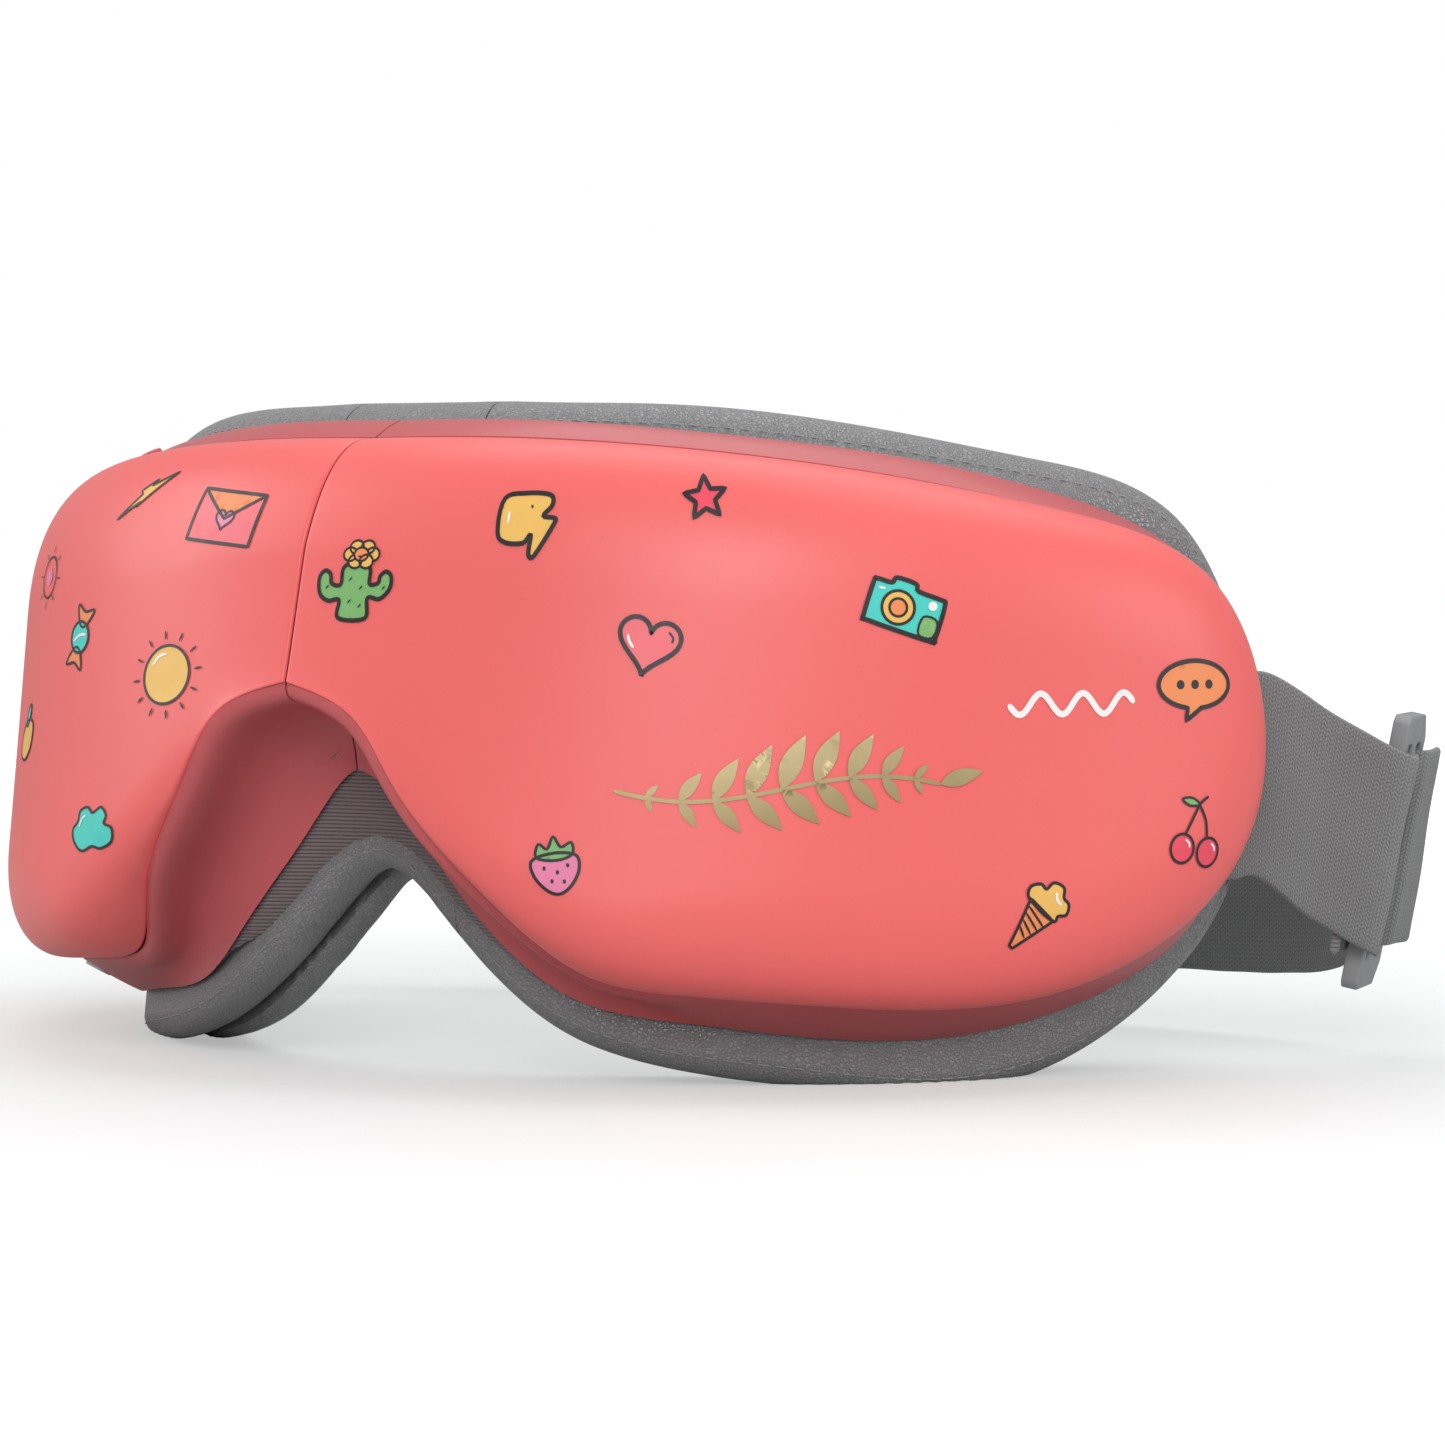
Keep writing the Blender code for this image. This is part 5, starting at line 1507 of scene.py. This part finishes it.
def build_pictures():
    """Small generic pictures, each drawn about its own middle."""
    line = 0.55
    dark = "dark_ink"
    body = rounded([
        (-2.2, -4.4), (2.3, -4.4), (2.4, -1.6), (4.4, -1.7), (5.9, -0.3), (6.0, 1.4), (5.1, 2.1), (4.2, 1.5),
        (3.9, 0.5), (2.5, 0.4), (2.3, 2.6), (0.1, 3.6), (-2.2, 2.6), (-2.4, 0.3), (-4.0, 0.4), (-4.4, 1.7),
        (-5.4, 2.2), (-6.3, 1.2), (-5.9, -1.0), (-4.3, -2.0), (-2.4, -1.9),
    ])
    layers = inked(body, "green", line)
    for k in range(6):
        turn = k * math.pi / 3
        petal = oval(0.6 + 1.9 * math.cos(turn), 4.5 + 1.15 * math.sin(turn), 1.15, 0.95, 0, 16)
        layers += inked(petal, "yellow", 0.3)
    layers += inked(oval(0.6, 4.5, 1.2, 0.95), "orange", 0.3)
    for x, y in ((-1.0, 0.8), (0.9, -0.4), (-0.8, -2.3), (1.0, -2.9), (4.7, -0.4), (-4.9, -0.3)):
        layers.append(("line", [(x, y), (x + 0.45, y + 0.5)], dark, 0.26))
    picture("print_cactus", LEFT, 9.5, 65.5, 0.0, layers, 0.93)

    shape = rounded(
        [
            (-3.6, 3.4), (-0.6, 4.1), (2.8, 3.9), (3.3, 2.6), (2.2, 1.2), (3.7, 0.9), (3.8, 0.2), (1.4, -3.9),
            (0.6, -3.7), (0.7, -1.2), (-0.3, -2.3), (-2.9, -2.2), (-4.0, -0.8),
        ],
        steps=5,
    )
    bolt = [
        *inked(shape, "yellow", line), ("line", [(-2.6, 1.8), (-2.7, 0.2)], "white_ink", 0.3),
        ("line", [(0.4, 2.6), (0.6, 2.2)], dark, 0.35),
    ]
    picture("print_yellow_bolt", LEFT, 34.0, 73.5, 0.0, bolt)

    angles = np.arange(10) * math.pi / 5 + math.pi / 2
    radii = np.where(np.arange(10) % 2, 1.35, 2.95)
    star = np.stack([radii * np.cos(angles), radii * np.sin(angles)], axis=1)
    picture("print_star", LEFT, 58.0, 77.0, 0.12, inked(star, "red", line))

    t = np.linspace(0, 2 * np.pi, 50)[:-1]
    high = 13 * np.cos(t) - 5 * np.cos(2 * t) - 2 * np.cos(3 * t) - np.cos(4 * t)
    heart = np.stack([16 * np.sin(t) ** 3, high], axis=1) * 0.25
    layers = [
        *inked(heart, "rose", line), stroke([(-2.9, 0.5), (-2.5, -0.3), (-1.8, -1.0)], "white_ink", 0.3),
        stroke([(2.2, 1.9), (2.9, 1.3), (2.9, 0.6)], dark, 0.26),
    ]
    picture("print_heart", LEFT, 51.0, 58.5, -0.22, layers)

    case = rounded(
        [
            (-4.9, -2.7), (-4.9, 1.9), (-4.5, 2.4), (-2.6, 2.5), (-2.1, 3.3), (0.5, 3.3), (1.1, 2.5),
            (4.3, 2.4), (4.9, 1.9), (4.9, -2.6), (4.4, -3.1), (-4.4, -3.1),
        ],
        steps=4,
    )
    panel = rounded([(2.6, -2.7), (4.5, -2.6), (4.5, -0.4), (2.6, -0.4)], steps=4)
    layers = [("fill", case, "teal", 0), *inked(panel, "green", 0.26), ("loop", case, dark, line)]
    layers += inked(oval(-0.9, -0.3, 2.15, 2.15), "yellow", 0.34)
    layers += inked(oval(-0.9, -0.3, 1.15, 1.15), "orange", 0.3)
    layers += [
        ("fill", oval(3.4, 1.3, 0.6, 0.6, 0, 14), "white_ink", 0),
        ("line", [(-4.1, 1.4), (-3.2, 1.5)], "white_ink", 0.34),
    ]
    picture("print_camera", LEFT, 84.0, 63.0, -0.33, layers)

    bubble = oval(0, 0.7, 5.7, 3.1, 0, 44)
    spoken = np.concatenate([bubble[:31], [(-1.2, -2.35), (-1.5, -4.0), (0.9, -2.4)], bubble[34:]])
    layers = inked(spoken, "orange", line)
    layers += [("fill", oval(x, 0.7, 0.62, 0.62, 0, 16), dark, 0) for x in (-2.3, 0.0, 2.3)]
    picture("print_speech_bubble", LEFT, 125.0, 52.0, 0.0, layers)

    layers = []
    for cx, cy in ((-2.2, -2.2), (2.3, -2.9)):
        layers += inked(oval(cx, cy, 1.95, 1.95), "red", 0.36)
        layers += [
            stroke([(cx + 0.5, cy + 1.2), (cx + 1.1, cy + 0.7), (cx + 1.2, cy + 0.1)], "white_ink", 0.26)
        ]
    layers += [
        stroke([(-1.8, -0.4), (-0.6, 1.6), (0.6, 3.6)], dark, 0.36),
        stroke([(2.0, -1.0), (1.7, 1.4), (0.6, 3.6)], dark, 0.36),
    ]
    leaf = rounded([(0.6, 3.6), (-0.6, 4.5), (-2.2, 4.4), (-1.0, 3.5)])
    layers += [*inked(leaf, "green", 0.3), stroke([(0.6, 3.6), (1.4, 4.2), (2.1, 4.6)], dark, 0.34)]
    picture("print_cherries", LEFT, 125.0, 33.5, 0.0, layers, 0.98)

    cone = np.array([(-2.1, 1.0), (-0.3, -5.4), (0.3, -5.4), (2.3, 0.8)])
    cream = rounded([
        (-2.6, 1.0), (-3.1, 2.2), (-2.2, 3.3), (-1.2, 3.3), (-0.9, 4.6), (0.6, 5.0), (1.5, 4.0), (2.6, 3.8),
        (3.2, 2.6), (2.4, 1.7), (2.5, 0.9), (0.8, 0.6), (-1.0, 0.7),
    ])
    layers = inked(cone, "orange", 0.36)
    for k in range(4):
        drop = 0.9 * k
        bar = [(-1.7 + 0.25 * k, 0.1 - drop), (1.9 - 0.42 * k, -0.7 - drop)]
        layers.append(("line", bar, dark, 0.28))
    layers += [*inked(cream, "yellow", 0.38), stroke([(0.2, 3.9), (0.9, 3.2), (1.8, 3.1)], "white_ink", 0.3)]
    picture("print_ice_cream", LEFT, 101.0, 23.5, -0.72, layers)

    berry = rounded([
        (-3.0, 1.3), (-2.9, -0.8), (-1.4, -2.8), (0.2, -3.5), (1.8, -2.6), (3.0, -0.6), (2.8, 1.4),
        (0.0, 2.0),
    ])
    crown = rounded(
        [(-2.4, 1.6), (-2.0, 3.4), (-0.9, 2.6), (0.0, 4.2), (0.9, 2.7), (2.3, 3.2), (2.3, 1.6), (0.2, 1.0)],
        steps=4,
    )
    layers = [*inked(berry, "pink", 0.38), *inked(crown, "green", 0.34)]
    for x, y in ((-1.5, 0.1), (0.2, -0.6), (1.6, 0.2), (-0.6, -1.7), (1.0, -1.9)):
        layers.append(("fill", oval(x, y, 0.22, 0.3, 0, 10), dark, 0))
    picture("print_strawberry", LEFT, 40.0, 30.0, 0.12, layers, 0.95)

    sway, pitch = 2.6, 9.0
    reach = np.linspace(-21.0, 20.0, 60)
    stem = np.stack([reach, sway * np.sin(reach / pitch)], axis=1)
    layers = [("line", stem, "gold", 0.5)]
    for root in np.arange(-17.0, 20.0, 4.2):
        rise = sway * math.sin(root / pitch)
        slope = math.atan(sway / pitch * math.cos(root / pitch))
        length = 7.6 - 0.018 * root**2
        for way in (-1, 1):
            blade = blade_outline(length * (0.86 if way < 0 else 1.0), 0.2)
            layers.append(("fill", turned_about(blade, slope + way * 0.95, root, rise), "gold", 0))
    layers += [("fill", turned_about(blade_outline(6.0, 0.2), 0.35, 20.0, stem[-1, 1]), "gold", 0)]
    picture("print_gold_sprig", LEFT, 68.0, 40.0, -0.08, layers)
    wave = np.linspace(-9.0, 9.0, 60)
    wave_line = np.stack([wave, 1.35 * np.sin(wave * 1.05)], axis=1)
    picture("print_white_wave", LEFT, 106.5, 50.5, 0.0, [("line", wave_line, "white_ink", 0.75)])

    jag = np.array([
        (-4.4, -3.4), (-0.4, -0.9), (-0.9, -1.6), (4.8, 3.2), (0.6, 1.3), (1.3, 2.2), (-1.2, 0.6),
        (-0.6, 0.1),
    ])
    picture("print_small_bolt", RIGHT, 37.0, 77.5, 0.0, inked(jag, "yellow", 0.3), 1.0)
    letter = np.array([(-5.2, -3.4), (5.2, -3.4), (5.2, 3.4), (-5.2, 3.4)])
    flap = np.array([(-5.2, 3.4), (0.0, -0.2), (5.2, 3.4)])
    small = heart * 0.36 + np.array([0.0, -0.2])
    layers = [
        ("fill", letter, "rose", 0), ("fill", flap, "orange", 0), ("loop", letter, dark, 0.4),
        ("line", flap, dark, 0.36), *inked(small, "pink", 0.26),
    ]
    picture("print_envelope", RIGHT, 16.0, 74.5, -0.10, layers)
    layers = [("loop", oval(0, 0, 2.9, 2.9), dark, 0.26), ("fill", oval(0, 0, 1.2, 1.2), "pink", 0)]
    layers += rays(8, 3.4, 4.5, 0.0, 0.24)
    picture("print_blossom", RIGHT, 65.0, 66.0, 0.0, layers)
    wrap_1 = rounded([(-0.8, 1.7), (-2.2, 4.0), (0.0, 3.5), (2.2, 4.2), (0.8, 1.7)], steps=4)
    wrap_2 = -wrap_1
    layers = [*inked(wrap_1, "orange", 0.32), *inked(wrap_2, "orange", 0.32)]
    layers += [
        *inked(oval(0, 0, 2.3, 2.1), "teal", 0.36),
        stroke([(-1.4, -0.9), (0.0, 0.3), (1.5, 0.7)], "white_ink", 0.34),
    ]
    picture("print_sweet", RIGHT, 47.5, 58.0, -0.2, layers, 1.02)
    layers = [
        *inked(oval(0, 0, 4.1, 4.1, 0, 44), "yellow", 0.36),
        stroke([(-2.7, 1.2), (-1.7, 2.5), (-0.4, 2.9)], "white_ink", 0.36),
    ]
    layers += rays(12, 5.0, 6.2, 0.2, 0.32)
    picture("print_sun", RIGHT, 22.5, 53.5, 0.0, layers, 0.95)
    lemon = rounded([(-3.4, 0.0), (-1.6, 2.3), (1.6, 2.3), (3.6, 0.2), (1.6, -2.2), (-1.6, -2.2)])
    layers = [*inked(lemon, "yellow", 0.32), *inked(oval(2.2, 2.7, 1.7, 0.8, 0.5, 18), "teal", 0.28)]
    picture("print_lemon", RIGHT, 68.0, 43.0, 0.7, layers)
    cloud = rounded([
        (-4.6, -1.6), (-5.0, 0.4), (-3.6, 1.5), (-3.0, 3.1), (-1.0, 3.5), (0.4, 2.4), (2.6, 3.0), (3.8, 1.5),
        (3.3, 0.3), (5.0, -0.7), (4.6, -2.8), (2.2, -3.6), (0.2, -3.0), (-2.4, -3.4),
    ])
    layers = [*inked(cloud, "teal", 0.38), stroke([(-3.2, 0.6), (-2.4, 1.8), (-1.4, 2.2)], "white_ink", 0.34)]
    picture("print_cloud", RIGHT, 35.5, 32.5, 0.2, layers, 0.84)


# ------------------------------------------------------------------ putting it together

for side in (LEFT, RIGHT):
    build_cover(side)
    wall = build_housing(side)
    if side == RIGHT:
        build_controls(wall)
    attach(wall, BODY[side])
    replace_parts(wall, "housing_" + WORD[side])
    build_face_cushion(side)
    build_eye_pad(side)

for soft in [*build_bridge(), build_gusset()]:
    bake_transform(soft)

near_strap = build_strap("strap_left_webbing", near_strap_path())
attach(near_strap, "left_half")
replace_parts(near_strap, "strap_left")
far_strap = build_strap("strap_main_webbing", far_strap_path())
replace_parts(far_strap, "strap_main")
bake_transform(far_strap)
build_buckle()

CABLE_STEPS, CABLE_HALF_WIDTH = 60, np.array([0.0, 0.0, 4.4])
sweep = np.linspace(-11.0, 11.0, CABLE_STEPS)
cable = np.array([(x, 12.5 + 0.9 * abs(math.sin(x / 2.2)), 68.0) for x in sweep])
cable_along = unit(np.gradient(cable[:, :2], axis=0))
cable_across = np.stack([cable_along[:, 1], -cable_along[:, 0], np.zeros(CABLE_STEPS)], axis=1) * 0.25
cable_rings = [
    [p - a - CABLE_HALF_WIDTH, p + a - CABLE_HALF_WIDTH, p + a + CABLE_HALF_WIDTH, p - a + CABLE_HALF_WIDTH]
    for p, a in zip(cable, cable_across)
]
flat_cable = mesh_piece("hinge_cable_ribbon", *tube(cable_rings), ["cable"], sharp=40)
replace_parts(flat_cable, "hinge_cable")
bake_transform(flat_cable)

build_pictures()

NODE_LOOKS = {
    "back_frame": "lining", "heater": "heater", "airbag": "airbag", "speaker": "black",
    "vibration_motor": "steel", "vibration_weight": "bronze", "strap_clamp": "steel", "hinge_leaf": "steel",
    "housing_screw": "steel", "battery": "battery", "air_pump_motor": "steel", "air_pump_head": "buckle",
    "air_valve": "cream", "air_tube": "rubber", "main_board": "board", "power_switch": "black",
    "mode_switch": "black", "hinge_pin": "steel",
}
for name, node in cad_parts.items():
    if node.hide_render:
        continue
    look = next((look for start, look in NODE_LOOKS.items() if name.startswith(start)), "buckle")
    for slot in node.material_slots:
        slot.link = "OBJECT"
        slot.material = LOOK[look]
